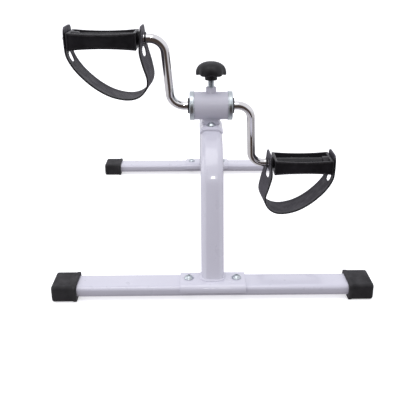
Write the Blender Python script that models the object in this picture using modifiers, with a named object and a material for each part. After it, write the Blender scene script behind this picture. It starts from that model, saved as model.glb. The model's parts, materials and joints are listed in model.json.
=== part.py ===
"""Pedal exerciser: two stabilisers, an arched column, a braked crank and two strapped pedals.

Metres, +Z up, +X to the user's right, the front stabiliser towards -Y.
The origin is on the floor, midway between the four feet.
"""
import math

import bmesh
import bpy
from mathutils import Matrix, Vector

MM = 0.001
GAP = 0.3 * MM                      # air kept between pieces that touch

# Overall layout
OVERALL_WIDTH = 400 * MM
STABILISER_SPACING = 480 * MM       # front to rear tube, centre to centre
FRONT_Y = -STABILISER_SPACING / 2
REAR_Y = STABILISER_SPACING / 2
HUB_Y = FRONT_Y + 111 * MM
HUB_Z = 217 * MM

# Stabiliser tubes: a flat rounded section lying across the machine
TUBE_WIDTH = 36 * MM
TUBE_HEIGHT = 14.5 * MM
TUBE_CORNER = 5.5 * MM
TUBE_BASE = 4.8 * MM                # underside above the floor
TUBE_WALL = 1.5 * MM
TUBE_TOP = TUBE_BASE + TUBE_HEIGHT
TUBE_MID = TUBE_BASE + TUBE_HEIGHT / 2

# Rubber feet
FOOT_LENGTH = 31 * MM
FOOT_DEPTH = 43 * MM
FOOT_HEIGHT = 22.5 * MM
FOOT_END_WALL = 5 * MM
FOOT_EDGE = 2.5 * MM

# Saddle plates, welded under the column and bolted through the tubes
PLATE_LENGTH = 82 * MM
PLATE_THICKNESS = 2.5 * MM
PLATE_SKIRT_BASE = 11.5 * MM
PLATE_TOP = TUBE_TOP + GAP + PLATE_THICKNESS
BOLT_SPACING = 60 * MM
BOLT_HOLE_RADIUS = 3.3 * MM

# M6 dome-head bolts and thin nuts
SHANK_RADIUS = 3 * MM
DOME_RADIUS = 6 * MM
DOME_HEIGHT = 4.2 * MM
NUT_ACROSS_FLATS = 10 * MM
NUT_THICKNESS = 3 * MM
STABILISER_BOLT_END = 1.2 * MM      # height of the shank's end above the floor

# Column: one bent tube, front leg steep, top level, rear leg sloping
COLUMN_WIDTH = 28.5 * MM
COLUMN_DEPTH = 25 * MM
COLUMN_CORNER = 8 * MM
COLUMN_WALL = 1.5 * MM
COLUMN_TOP = 191.5 * MM
FRONT_LEAN = math.radians(18)       # front leg from the vertical
REAR_SLOPE = math.radians(39)       # rear leg from the horizontal
FRONT_FOOT_Y = FRONT_Y + 5 * MM     # where the legs' centre lines meet the plates
REAR_FOOT_Y = REAR_Y - 5 * MM
COPE_DROP = 2.5 * MM                # how far the legs' ends follow the plates' rounded edges
FRONT_BEND = 70 * MM
REAR_BEND = 90 * MM

# Hub bracket: a cap over the column's top, and the cradle pad that carries the barrel
BRACKET_THICKNESS = 2 * MM
BRACKET_FRONT = HUB_Y - 24 * MM
BRACKET_REAR = HUB_Y + 24 * MM
BRACKET_WRAP = math.radians(62)
BRACKET_BOLT_OFFSET = 14 * MM
BRACKET_TOP = COLUMN_TOP + GAP + BRACKET_THICKNESS
WELD_NUT_TOP = COLUMN_TOP - 4.1 * MM
WELD_NUT_THICKNESS = 5 * MM
CRADLE_LENGTH = 21 * MM
CRADLE_DEPTH = 12 * MM

# Hub barrel, bearing cups and bushes
BARREL_RADIUS = 18 * MM
BARREL_BORE = 16 * MM
BARREL_HALF = 26.9 * MM
CUP_RADIUS = 18.9 * MM
CUP_FACE = 28 * MM                  # outer face, from the middle of the machine
CUP_RIM = 22 * MM                   # inner edge of the rim
CUP_SHEET = 0.8 * MM
CUP_HOLE = 8 * MM
BUSH_FLANGE_RADIUS = 10 * MM
BUSH_FACE = 30.3 * MM
BUSH_RADIUS = 7.7 * MM
BUSH_INNER = 18 * MM

# Crank: one bent rod
ROD_RADIUS = 5.5 * MM
ROD_BORE = 5.6 * MM
CRANK_THROW = 96 * MM
CRANK_ANGLE = math.radians(20.8)    # left arm leans this far forward of upright
ARM_AT_HUB = 52 * MM
ARM_AT_PEDAL = 58 * MM
ROD_BEND = 19 * MM
ROD_END = 164 * MM

# Tension screw
KNOB_RADIUS = 19.8 * MM
KNOB_TOP = HUB_Z + 57 * MM
KNOB_SKIRT = HUB_Z + 40 * MM
KNOB_BASE = HUB_Z + 33.5 * MM
KNOB_BOSS_RADIUS = 8.2 * MM
KNOB_BORE_TOP = KNOB_SKIRT + 7 * MM
KNOB_LOBES = 6
KNOB_LOBE_DEPTH = 0.09
KNOB_CROWN = 0.85                   # below 1 the dome's crown is flatter than a ball
STUD_RADIUS = 4 * MM
STUD_HOLE = 4.3 * MM
TENSION_NUT_ACROSS_FLATS = 13 * MM
TENSION_NUT_TOP = HUB_Z + BARREL_RADIUS + 6.5 * MM
SHOE_LENGTH = 14 * MM
SHOE_DEPTH = 14 * MM
SHOE_BASE = HUB_Z + 3.5 * MM
SHOE_TOP = HUB_Z + 11.75 * MM
SHOE_LIFT = 1.15 * MM               # shoe's hollow above the rod's centre at rest
SHOE_HOLLOW = 5.7 * MM

# Pedals, measured outwards from the middle of the machine
PEDAL_INNER = 89 * MM
PEDAL_OUTER = 171 * MM
PEDAL_DEPTH = 46 * MM
PEDAL_HEIGHT = 21.0 * MM
PEDAL_WAIST = 16.8 * MM
PEDAL_DROP = 1.5 * MM               # pedal's middle below its spindle
PEDAL_EDGE = 1.2 * MM
PEDAL_WALL = 4 * MM
PEDAL_WEB = 2.5 * MM
PEDAL_BOSS_RADIUS = 8 * MM
PEDAL_BOSS_END = 85 * MM
PEDAL_TUBE_RADIUS = 6.6 * MM
PEDAL_RIB = 2 * MM
COUNTERBORE_RADIUS = 7.3 * MM
COUNTERBORE_START = 160 * MM
PUSH_NUT_START = 160.6 * MM
PUSH_NUT_END = 162.1 * MM
PLUG_RADIUS = 7 * MM
PLUG_START = 165.5 * MM
PEG_RADIUS = 2.5 * MM
PEG_HEAD_RADIUS = 3.1 * MM
PEG_HEAD_START = 174.2 * MM
PEG_END = 179 * MM
COLLAR_START = 78.7 * MM
COLLAR_END = 80.9 * MM
COLLAR_RADIUS = 7.6 * MM

# Foot straps
STRAP_WIDTH = 45 * MM
STRAP_THICKNESS = 2 * MM
STRAP_END_CORNER = 9 * MM
STRAP_SPINDLE_HOLE = 6.3 * MM
STRAP_PEG_HOLE = 2.9 * MM
STRAP_SLOT_WIDTH = 19 * MM
STRAP_SLOT_HEIGHT = 12 * MM
STRAP_SLOT_CORNER = 5.9 * MM
STRAP_SLOT_DROPS = (15 * MM, 21 * MM)   # inner and outer slots' middles below the spindle
# Middle line of the strap: outward, up from the spindle, lean of the rear edge towards the hub
STRAP_ROUTE = (
    (172.9, 15.0, 0.0), (172.9, 7.0, 0.0), (172.9, -6.0, 0.0), (171.3, -19.0, 0.0),
    (164.0, -32.5, 0.0), (152.5, -45.5, 0.0), (138.0, -57.3, 0.0), (121.5, -66.0, 0.0),
    (103.0, -69.8, 0.0), (88.5, -67.0, 0.5), (78.2, -57.5, 1.4), (75.0, -46.0, 2.6),
    (78.2, -31.0, 3.8), (82.2, -15.0, 3.6), (83.3, 0.0, 1.4), (83.4, 15.0, 0.2),
)

# Colours (linear RGB), roughness, metallic
PAINT = ((0.66, 0.65, 0.74), 0.35, 0.0)
RUBBER = ((0.030, 0.029, 0.031), 0.75, 0.0)
ZINC = ((0.62, 0.65, 0.68), 0.3, 1.0)
CHROME = ((0.75, 0.75, 0.76), 0.08, 1.0)
BLACK_PLASTIC = ((0.012, 0.012, 0.014), 0.45, 0.0)
STRAP_RUBBER = ((0.055, 0.051, 0.060), 0.65, 0.0)
NYLON = ((0.70, 0.68, 0.60), 0.5, 0.0)

SIDES = (("left", -1), ("right", 1))
ENDS = (("front", FRONT_Y), ("rear", REAR_Y))

# Frames for pieces drawn flat: local x, y and z become these world directions
ACROSS = Matrix(((0, 0, 1), (1, 0, 0), (0, 1, 0))).to_4x4()     # y, z, x
LENGTHWISE = Matrix(((1, 0, 0), (0, 0, -1), (0, 1, 0))).to_4x4()  # x, z, -y


def clear_scene():
    for obj in list(bpy.data.objects):
        bpy.data.objects.remove(obj, do_unlink=True)


def new_collection(name):
    collection = bpy.data.collections.new(name)
    bpy.context.scene.collection.children.link(collection)
    return collection


def principled(name, finish):
    colour, roughness, metallic = finish
    material = bpy.data.materials.new(name)
    material.use_nodes = True
    shader = material.node_tree.nodes["Principled BSDF"]
    shader.inputs["Base Color"].default_value = (*colour, 1)
    shader.inputs["Roughness"].default_value = roughness
    shader.inputs["Metallic"].default_value = metallic
    return material


def keep(obj, finish):
    """Put a piece in the model's collection, with a material of its own."""
    parts.objects.link(obj)
    obj.data.materials.clear()
    obj.data.materials.append(principled(obj.name, finish))
    obj.data.shade_smooth()
    obj.data.set_sharp_from_angle(angle=math.radians(35))
    return obj


def make_cutter(obj):
    cutters.objects.link(obj)
    obj.hide_render = True
    obj.display_type = "WIRE"
    return obj


def combine(obj, other, operation="DIFFERENCE"):
    modifier = obj.modifiers.new(operation.title(), "BOOLEAN")
    modifier.operation = operation
    modifier.solver = "EXACT"
    modifier.object = make_cutter(other)
    return obj


def mesh_of_curve(curve_object):
    """Turn a curve object into a welded mesh object and remove the curve."""
    bpy.context.scene.collection.objects.link(curve_object)
    graph = bpy.context.evaluated_depsgraph_get()
    mesh = bpy.data.meshes.new_from_object(curve_object.evaluated_get(graph))
    work = bmesh.new()
    work.from_mesh(mesh)
    bmesh.ops.remove_doubles(work, verts=work.verts, dist=0.01 * MM)
    bmesh.ops.recalc_face_normals(work, faces=work.faces)
    work.to_mesh(mesh)
    work.free()
    name = curve_object.name
    matrix = curve_object.matrix_world.copy()
    bpy.data.objects.remove(curve_object, do_unlink=True)
    obj = bpy.data.objects.new(name, mesh)
    obj.matrix_world = matrix
    return obj


def prism(name, outlines, length, placing):
    """Extrude closed flat outlines, centred on their plane; an inner outline is a hole."""
    curve = bpy.data.curves.new(name, "CURVE")
    curve.dimensions = "2D"
    curve.fill_mode = "BOTH"
    curve.extrude = length / 2
    for outline in outlines:
        spline = curve.splines.new("POLY")
        spline.points.add(len(outline) - 1)
        for point, (x, y) in zip(spline.points, outline):
            point.co = (x, y, 0, 1)
        spline.use_cyclic_u = True
    curve_object = bpy.data.objects.new(name, curve)
    curve_object.matrix_world = placing
    return mesh_of_curve(curve_object)


def turned(name, profile, placing, steps=20, closed=False):
    """Turn a profile of (radius, height) about local Z; it runs down the outer side."""
    mesh = bpy.data.meshes.new(name)
    edges = [(i, i + 1) for i in range(len(profile) - 1)]
    if closed:
        edges.append((len(profile) - 1, 0))
    mesh.from_pydata([(r, 0, z) for r, z in profile], edges, [])
    obj = bpy.data.objects.new(name, mesh)
    obj.matrix_world = placing
    screw = obj.modifiers.new("Turn", "SCREW")
    screw.axis = "Z"
    screw.steps = steps
    screw.render_steps = steps
    screw.use_merge_vertices = True
    screw.merge_threshold = 0.01 * MM
    screw.use_smooth_shade = True
    return obj


def cylinder(name, radius, start, end, placing, steps=20):
    return turned(name, ((0, end), (radius, end), (radius, start), (0, start)), placing, steps)


def block(name, low, high, edge=0.0, segments=3):
    """A box between two corners, with its edges rounded."""
    low = Vector(low)
    high = Vector(high)
    mesh = bpy.data.meshes.new(name)
    work = bmesh.new()
    bmesh.ops.create_cube(work, size=1)
    bmesh.ops.scale(work, vec=high - low, verts=work.verts)
    work.to_mesh(mesh)
    work.free()
    obj = bpy.data.objects.new(name, mesh)
    obj.location = (low + high) / 2
    if edge:
        bevel = obj.modifiers.new("Edges", "BEVEL")
        bevel.width = edge
        bevel.segments = segments
    return obj


def arc(centre, radius, start, end, steps):
    """Points on an arc, both ends included; angles in radians."""
    return [
        (centre[0] + radius * math.cos(start + (end - start) * i / steps),
         centre[1] + radius * math.sin(start + (end - start) * i / steps))
        for i in range(steps + 1)
    ]


def rounded_rectangle(width, height, radius, centre=(0, 0), steps=5):
    points = []
    corners = ((1, 1, 0), (-1, 1, 90), (-1, -1, 180), (1, -1, 270))
    for across, up, angle in corners:
        middle = (
            centre[0] + across * (width / 2 - radius),
            centre[1] + up * (height / 2 - radius),
        )
        first = math.radians(angle)
        points += arc(middle, radius, first, first + math.pi / 2, steps)
    return points


def hexagon(across_flats):
    corner = across_flats / math.sqrt(3)
    return [
        (corner * math.cos(math.radians(60 * i)), corner * math.sin(math.radians(60 * i)))
        for i in range(6)
    ]


def circle(radius, steps=24):
    return arc((0, 0), radius, 0, 2 * math.pi * (steps - 1) / steps, steps - 1)


def filleted(corners, radii, steps):
    """A flat path through corners, each inner corner replaced by a tangent arc."""
    path = [Vector(corners[0])]
    for before, corner, after, radius in zip(corners, corners[1:], corners[2:], radii):
        corner = Vector(corner)
        back = (Vector(before) - corner).normalized()
        ahead = (Vector(after) - corner).normalized()
        half = back.angle(ahead) / 2
        centre = corner + (back + ahead).normalized() * radius / math.sin(half)
        start = corner + back * radius / math.tan(half) - centre
        end = corner + ahead * radius / math.tan(half) - centre
        turn = start.angle(end)
        for i in range(steps + 1):
            share = i / steps
            path.append(centre + (
                start * math.sin((1 - share) * turn) + end * math.sin(share * turn)
            ) / math.sin(turn))
    path.append(Vector(corners[-1]))
    return path


def smooth_route(points, steps):
    """Catmull-Rom points through a route of tuples, both ends included."""
    stops = [Vector(p) for p in points]
    stops = [2 * stops[0] - stops[1]] + stops + [2 * stops[-1] - stops[-2]]
    route = []
    for a, b, c, d in zip(stops, stops[1:], stops[2:], stops[3:]):
        for i in range(steps):
            t = i / steps
            route.append(
                0.5 * (2 * b + (c - a) * t + (2 * a - 5 * b + 4 * c - d) * t * t
                       + (3 * b - a - 3 * c + d) * t ** 3)
            )
    route.append(stops[-2])
    return route


def move(x=0.0, y=0.0, z=0.0):
    return Matrix.Translation((x, y, z))


def along_x(side=1, y=HUB_Y, z=HUB_Z):
    """Placing for a turned piece whose height runs outwards along X on one side."""
    return move(0, y, z) @ Matrix.Rotation(math.radians(90 * side), 4, "Y")


def pedal_axis(side):
    """Where a pedal's spindle crosses the crank's plane: its Y and Z."""
    reach = -side * CRANK_THROW
    return HUB_Y - reach * math.sin(CRANK_ANGLE), HUB_Z + reach * math.cos(CRANK_ANGLE)


# Base

def stabiliser(end, y):
    outer = rounded_rectangle(TUBE_WIDTH, TUBE_HEIGHT, TUBE_CORNER)
    inner = rounded_rectangle(
        TUBE_WIDTH - 2 * TUBE_WALL, TUBE_HEIGHT - 2 * TUBE_WALL, TUBE_CORNER - TUBE_WALL)
    length = OVERALL_WIDTH - 2 * (FOOT_END_WALL + GAP)
    tube = prism(f"{end}_stabiliser_tube", (outer, inner), length, move(0, y, TUBE_MID) @ ACROSS)
    for side, sign in SIDES:
        hole = cylinder(
            f"{end}_{side}_tube_hole", BOLT_HOLE_RADIUS, 0, 2 * TUBE_TOP,
            move(sign * BOLT_SPACING / 2, y), steps=16)
        combine(tube, hole)
    keep(tube, PAINT)


def foot(end, y, side, sign):
    outer_x = sign * OVERALL_WIDTH / 2
    inner_x = sign * (OVERALL_WIDTH / 2 - FOOT_LENGTH)
    body = block(
        f"{end}_{side}_foot",
        (min(outer_x, inner_x), y - FOOT_DEPTH / 2, 0),
        (max(outer_x, inner_x), y + FOOT_DEPTH / 2, FOOT_HEIGHT), FOOT_EDGE)
    pocket_outline = rounded_rectangle(
        TUBE_WIDTH + 2 * GAP, TUBE_HEIGHT + 2 * GAP, TUBE_CORNER + GAP)
    pocket = prism(
        f"{end}_{side}_foot_pocket", (pocket_outline,),
        OVERALL_WIDTH - 2 * FOOT_END_WALL, move(0, y, TUBE_MID) @ ACROSS)
    combine(body, pocket)
    keep(body, RUBBER)


def saddle_outline(gap):
    """Outer outline of a saddle plate, grown by a gap, from one skirt edge to the other."""
    radius = TUBE_CORNER + GAP + PLATE_THICKNESS + gap
    half = TUBE_WIDTH / 2 + GAP + PLATE_THICKNESS + gap
    top = PLATE_TOP + gap
    right = arc((half - radius, top - radius), radius, 0, math.pi / 2, 6)
    left = arc((radius - half, top - radius), radius, math.pi / 2, math.pi, 6)
    return right + left


def saddle_plate(end, y):
    outer = saddle_outline(0)
    inner = saddle_outline(-PLATE_THICKNESS)
    skirt = [(outer[-1][0], PLATE_SKIRT_BASE), (inner[-1][0], PLATE_SKIRT_BASE)]
    other_skirt = [(inner[0][0], PLATE_SKIRT_BASE), (outer[0][0], PLATE_SKIRT_BASE)]
    outline = outer + skirt + inner[::-1] + other_skirt
    plate = prism(f"{end}_saddle_plate", (outline,), PLATE_LENGTH, move(0, y) @ ACROSS)
    for side, sign in SIDES:
        hole = cylinder(
            f"{end}_{side}_plate_hole", BOLT_HOLE_RADIUS, TUBE_MID, 2 * TUBE_TOP,
            move(sign * BOLT_SPACING / 2, y), steps=16)
        combine(plate, hole)
    keep(plate, PAINT)


def dome_bolt(name, x, y, seat, end):
    """An M6 bolt whose dome head stands on a seat and whose shank ends lower down."""
    base = seat + GAP
    ball = (DOME_RADIUS ** 2 + DOME_HEIGHT ** 2) / (2 * DOME_HEIGHT)
    spread = math.asin(DOME_RADIUS / ball)
    crown = arc((0, base + DOME_HEIGHT - ball), ball, math.pi / 2, math.pi / 2 - spread, 4)
    profile = [(max(r, 0), z) for r, z in crown]
    profile += [(SHANK_RADIUS, base), (SHANK_RADIUS, end), (0, end)]
    keep(turned(name, profile, move(x, y)), ZINC)


def hex_nut(name, across_flats, hole, low, high, x, y):
    outline = hexagon(across_flats)
    middle = (low + high) / 2
    return prism(name, (outline, circle(hole, 16)), high - low, move(x, y, middle))


def base():
    for end, y in ENDS:
        stabiliser(end, y)
        saddle_plate(end, y)
        for side, sign in SIDES:
            foot(end, y, side, sign)
            x = sign * BOLT_SPACING / 2
            dome_bolt(f"{end}_{side}_bolt", x, y, PLATE_TOP, STABILISER_BOLT_END)
            nut_top = TUBE_BASE - GAP
            keep(hex_nut(f"{end}_{side}_nut", NUT_ACROSS_FLATS, BOLT_HOLE_RADIUS,
                         nut_top - NUT_THICKNESS, nut_top, x, y), ZINC)


# Column and hub bracket

def column():
    middle = COLUMN_TOP - COLUMN_DEPTH / 2
    rise = middle - PLATE_TOP
    overrun = 15 * MM
    corners = (
        (FRONT_FOOT_Y - overrun * math.tan(FRONT_LEAN), PLATE_TOP - overrun),
        (FRONT_FOOT_Y + rise * math.tan(FRONT_LEAN), middle),
        (REAR_FOOT_Y - rise / math.tan(REAR_SLOPE), middle),
        (REAR_FOOT_Y + overrun / math.tan(REAR_SLOPE), PLATE_TOP - overrun),
    )
    section = bpy.data.curves.new("column_section", "CURVE")
    section.dimensions = "2D"
    outline = rounded_rectangle(COLUMN_DEPTH, COLUMN_WIDTH, COLUMN_CORNER, steps=3)
    spline = section.splines.new("POLY")
    spline.points.add(len(outline) - 1)
    for point, (x, y) in zip(spline.points, outline):
        point.co = (x, y, 0, 1)
    spline.use_cyclic_u = True
    guide = make_cutter(bpy.data.objects.new("column_section", section))

    path = bpy.data.curves.new("column_tube", "CURVE")
    path.dimensions = "2D"
    path.fill_mode = "NONE"
    path.bevel_mode = "OBJECT"
    path.bevel_object = guide
    spline = path.splines.new("POLY")
    points = filleted(corners, (FRONT_BEND, REAR_BEND), 9)
    spline.points.add(len(points) - 1)
    for point, (y, z) in zip(spline.points, points):
        point.co = (y, z, 0, 1)
    curve_object = bpy.data.objects.new("column_tube", path)
    curve_object.matrix_world = ACROSS
    tube = mesh_of_curve(curve_object)
    wall = tube.modifiers.new("Wall", "SOLIDIFY")
    wall.thickness = COLUMN_WALL
    wall.offset = -1

    # Each leg's end is coped to the saddle plate's rounded top
    for end, y in ENDS:
        shelf = PLATE_TOP - COPE_DROP
        crest = [point for point in saddle_outline(GAP) if point[1] > shelf]
        reach = 2 * COLUMN_WIDTH
        below = -overrun
        outline = crest + [(-reach, shelf), (-reach, below), (reach, below), (reach, shelf)]
        cope = prism(f"{end}_cope", (outline,), PLATE_LENGTH, move(0, y) @ ACROSS)
        combine(tube, cope)
    for end, offset in (("front", -BRACKET_BOLT_OFFSET), ("rear", BRACKET_BOLT_OFFSET)):
        hole = cylinder(
            f"{end}_column_hole", BOLT_HOLE_RADIUS, COLUMN_TOP - COLUMN_DEPTH / 2,
            2 * COLUMN_TOP, move(0, HUB_Y + offset), steps=16)
        combine(tube, hole)
    keep(tube, PAINT)


def hub_bracket():
    flat = COLUMN_WIDTH / 2 - COLUMN_CORNER
    inner_radius = COLUMN_CORNER + GAP
    outer_radius = inner_radius + BRACKET_THICKNESS
    level = COLUMN_TOP - COLUMN_CORNER
    up = math.pi / 2
    low = up - BRACKET_WRAP
    outline = (
        arc((flat, level), outer_radius, low, up, 6)
        + arc((-flat, level), outer_radius, up, up + BRACKET_WRAP, 6)
        + arc((-flat, level), inner_radius, up + BRACKET_WRAP, up, 6)
        + arc((flat, level), inner_radius, up, low, 6)
    )
    bracket = prism(
        "hub_bracket", (outline,), BRACKET_REAR - BRACKET_FRONT, move(0, HUB_Y) @ LENGTHWISE)
    for end, sign in (("front", -1), ("rear", 1)):
        y = HUB_Y + sign * BRACKET_BOLT_OFFSET
        hole = cylinder(
            f"{end}_bracket_hole", BOLT_HOLE_RADIUS, COLUMN_TOP - COLUMN_DEPTH / 2,
            2 * COLUMN_TOP, move(0, y), steps=16)
        combine(bracket, hole)
        nut_base = WELD_NUT_TOP - WELD_NUT_THICKNESS
        dome_bolt(f"hub_{end}_bolt", 0, y, BRACKET_TOP, nut_base - MM)
        keep(hex_nut(f"hub_{end}_weld_nut", NUT_ACROSS_FLATS, BOLT_HOLE_RADIUS,
                     nut_base, WELD_NUT_TOP, 0, y), ZINC)
    keep(bracket, PAINT)


def hub_cradle():
    cradle = block(
        "hub_cradle",
        (-CRADLE_LENGTH / 2, HUB_Y - CRADLE_DEPTH / 2, BRACKET_TOP + GAP),
        (CRADLE_LENGTH / 2, HUB_Y + CRADLE_DEPTH / 2, HUB_Z))
    seat = cylinder(
        "cradle_seat", BARREL_RADIUS + GAP, -BARREL_HALF, BARREL_HALF, along_x(), steps=48)
    combine(cradle, seat)
    keep(cradle, PAINT)


# Hub

def hub_barrel():
    profile = (
        (BARREL_BORE, BARREL_HALF), (BARREL_RADIUS, BARREL_HALF),
        (BARREL_RADIUS, -BARREL_HALF), (BARREL_BORE, -BARREL_HALF),
    )
    barrel = turned("hub_barrel", profile, along_x(), steps=48, closed=True)
    hole = cylinder("barrel_hole", STUD_HOLE, HUB_Z, KNOB_BASE, move(0, HUB_Y), steps=16)
    combine(barrel, hole)
    keep(barrel, PAINT)


def bearing(side, sign):
    rounding = 0.6 * MM
    lip = BARREL_RADIUS + GAP
    cup = (
        (CUP_HOLE, CUP_FACE), (CUP_RADIUS - rounding, CUP_FACE),
        (CUP_RADIUS, CUP_FACE - rounding), (CUP_RADIUS, CUP_RIM), (lip, CUP_RIM),
        (lip, CUP_FACE - CUP_SHEET), (CUP_HOLE, CUP_FACE - CUP_SHEET),
    )
    keep(turned(f"{side}_bearing_cup", cup, along_x(sign), steps=36, closed=True), ZINC)
    bush = (
        (ROD_BORE, BUSH_FACE), (BUSH_FLANGE_RADIUS - rounding, BUSH_FACE),
        (BUSH_FLANGE_RADIUS, BUSH_FACE - rounding), (BUSH_FLANGE_RADIUS, CUP_FACE + GAP),
        (BUSH_RADIUS, CUP_FACE + GAP), (BUSH_RADIUS, BUSH_INNER), (ROD_BORE, BUSH_INNER),
    )
    keep(turned(f"{side}_bush", bush, along_x(sign), closed=True), BLACK_PLASTIC)


def tension_nut():
    """A nut welded on the barrel, its underside cut to the barrel's curve."""
    skirt = 3 * MM
    nut = hex_nut(
        "tension_nut", TENSION_NUT_ACROSS_FLATS, STUD_HOLE,
        HUB_Z + BARREL_RADIUS - skirt, TENSION_NUT_TOP, 0, HUB_Y)
    seat = cylinder(
        "nut_seat", BARREL_RADIUS + GAP, -BARREL_HALF, BARREL_HALF, along_x(), steps=48)
    combine(nut, seat)
    keep(nut, PAINT)


# Tension screw

def tension_stud():
    chamfer = 0.8 * MM
    end = SHOE_TOP + GAP
    head = KNOB_BORE_TOP - MM
    profile = (
        (0, head), (STUD_RADIUS, head), (STUD_RADIUS, end + chamfer),
        (STUD_RADIUS - chamfer, end), (0, end),
    )
    keep(turned("tension_stud", profile, move(0, HUB_Y)), ZINC)


def tension_knob():
    """A scalloped dome with a boss under it and a blind hole for the stud."""
    dome = [
        (KNOB_RADIUS * math.sin(math.radians(a)),
         KNOB_SKIRT + (KNOB_TOP - KNOB_SKIRT) * math.cos(math.radians(a)) ** KNOB_CROWN)
        for a in (0, 15, 30, 45, 60, 75)
    ]
    profile = dome + [
        (KNOB_RADIUS, KNOB_SKIRT + 1.5 * MM), (KNOB_RADIUS - MM, KNOB_SKIRT),
        (KNOB_BOSS_RADIUS + MM, KNOB_SKIRT), (KNOB_BOSS_RADIUS, KNOB_BASE),
        (STUD_HOLE, KNOB_BASE), (STUD_HOLE, KNOB_BORE_TOP), (0, KNOB_BORE_TOP),
    ]
    rough = turned("tension_knob", profile, Matrix(), steps=36)
    bpy.context.scene.collection.objects.link(rough)
    graph = bpy.context.evaluated_depsgraph_get()
    mesh = bpy.data.meshes.new_from_object(rough.evaluated_get(graph))
    bpy.data.objects.remove(rough, do_unlink=True)
    for vertex in mesh.vertices:
        radius = math.hypot(vertex.co.x, vertex.co.y)
        rim = max(0.0, radius / KNOB_RADIUS - 0.5) * 2
        bearing_angle = math.atan2(vertex.co.y, vertex.co.x)
        dip = 0.5 - 0.5 * math.cos(KNOB_LOBES * bearing_angle)
        shrink = 1 - KNOB_LOBE_DEPTH * rim * dip ** 2
        vertex.co.x *= shrink
        vertex.co.y *= shrink
    knob = bpy.data.objects.new("tension_knob", mesh)
    knob.location = (0, HUB_Y, 0)
    keep(knob, BLACK_PLASTIC)


def brake_shoe():
    shoe = block(
        "brake_shoe",
        (-SHOE_LENGTH / 2, HUB_Y - SHOE_DEPTH / 2, SHOE_BASE),
        (SHOE_LENGTH / 2, HUB_Y + SHOE_DEPTH / 2, SHOE_TOP))
    hollow = cylinder(
        "shoe_hollow", SHOE_HOLLOW, -SHOE_LENGTH, SHOE_LENGTH,
        along_x(z=HUB_Z + SHOE_LIFT), steps=48)
    combine(shoe, hollow)
    keep(shoe, NYLON)


# Crank and pedals

def crank():
    corners = (
        (-ROD_END, CRANK_THROW), (-ARM_AT_PEDAL, CRANK_THROW), (-ARM_AT_HUB, 0),
        (ARM_AT_HUB, 0), (ARM_AT_PEDAL, -CRANK_THROW), (ROD_END, -CRANK_THROW),
    )
    curve = bpy.data.curves.new("crank", "CURVE")
    curve.dimensions = "3D"
    curve.bevel_depth = ROD_RADIUS
    curve.bevel_resolution = 4
    curve.use_fill_caps = True
    spline = curve.splines.new("POLY")
    points = filleted(corners, (ROD_BEND,) * 4, 7)
    spline.points.add(len(points) - 1)
    for point, (x, up) in zip(spline.points, points):
        point.co = (x, 0, up, 1)
    curve_object = bpy.data.objects.new("crank", curve)
    curve_object.matrix_world = move(0, HUB_Y, HUB_Z) @ Matrix.Rotation(CRANK_ANGLE, 4, "X")
    keep(mesh_of_curve(curve_object), CHROME)


def pedal(side, sign):
    y, z = pedal_axis(sign)
    middle = (PEDAL_INNER + PEDAL_OUTER) / 2
    half = (PEDAL_OUTER - PEDAL_INNER) / 2
    dip = (PEDAL_HEIGHT - PEDAL_WAIST) / 2
    sweep = (half ** 2 + dip ** 2) / (2 * dip)
    swing = math.asin(half / sweep)
    crest = arc((0, PEDAL_WAIST / 2 + sweep), sweep, -math.pi / 2 + swing, -math.pi / 2 - swing, 10)
    floor = [(-x, -height) for x, height in crest]
    place = move(sign * middle, y, z - PEDAL_DROP)
    body = prism(f"{side}_pedal", (crest + floor,), PEDAL_DEPTH, place @ LENGTHWISE)
    edges = body.modifiers.new("Edges", "BEVEL")
    edges.width = PEDAL_EDGE
    edges.segments = 1

    # Open trays above and below a web, divided by ribs
    bays = 3
    tray = 2 * half - 2 * PEDAL_WALL
    bay = (tray - (bays - 1) * PEDAL_RIB) / bays
    inside = PEDAL_DEPTH / 2 - PEDAL_WALL
    web_low = z - PEDAL_DROP - PEDAL_WEB / 2
    web_high = z - PEDAL_DROP + PEDAL_WEB / 2
    for number in range(bays):
        start = sign * middle - tray / 2 + number * (bay + PEDAL_RIB)
        upper = block(f"{side}_upper_bay_{number}", (start, y - inside, web_high),
                      (start + bay, y + inside, z + PEDAL_HEIGHT))
        lower = block(f"{side}_lower_bay_{number}", (start, y - inside, z - PEDAL_HEIGHT),
                      (start + bay, y + inside, web_low))
        combine(body, upper)
        combine(body, lower)
    axis = along_x(sign, y, z)
    tube = cylinder(f"{side}_pedal_tube", PEDAL_TUBE_RADIUS, PEDAL_INNER + MM,
                    PEDAL_OUTER - MM, axis)
    combine(body, tube, "UNION")
    boss = cylinder(f"{side}_pedal_boss", PEDAL_BOSS_RADIUS, PEDAL_BOSS_END,
                    PEDAL_INNER + PEDAL_WALL / 2, axis)
    combine(body, boss, "UNION")
    bore = cylinder(f"{side}_pedal_bore", ROD_BORE, PEDAL_BOSS_END - MM,
                    COUNTERBORE_START + MM, axis, steps=24)
    combine(body, bore)
    counterbore = cylinder(f"{side}_counterbore", COUNTERBORE_RADIUS, COUNTERBORE_START,
                           PEDAL_OUTER + MM, axis)
    combine(body, counterbore)
    keep(body, BLACK_PLASTIC)


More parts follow.
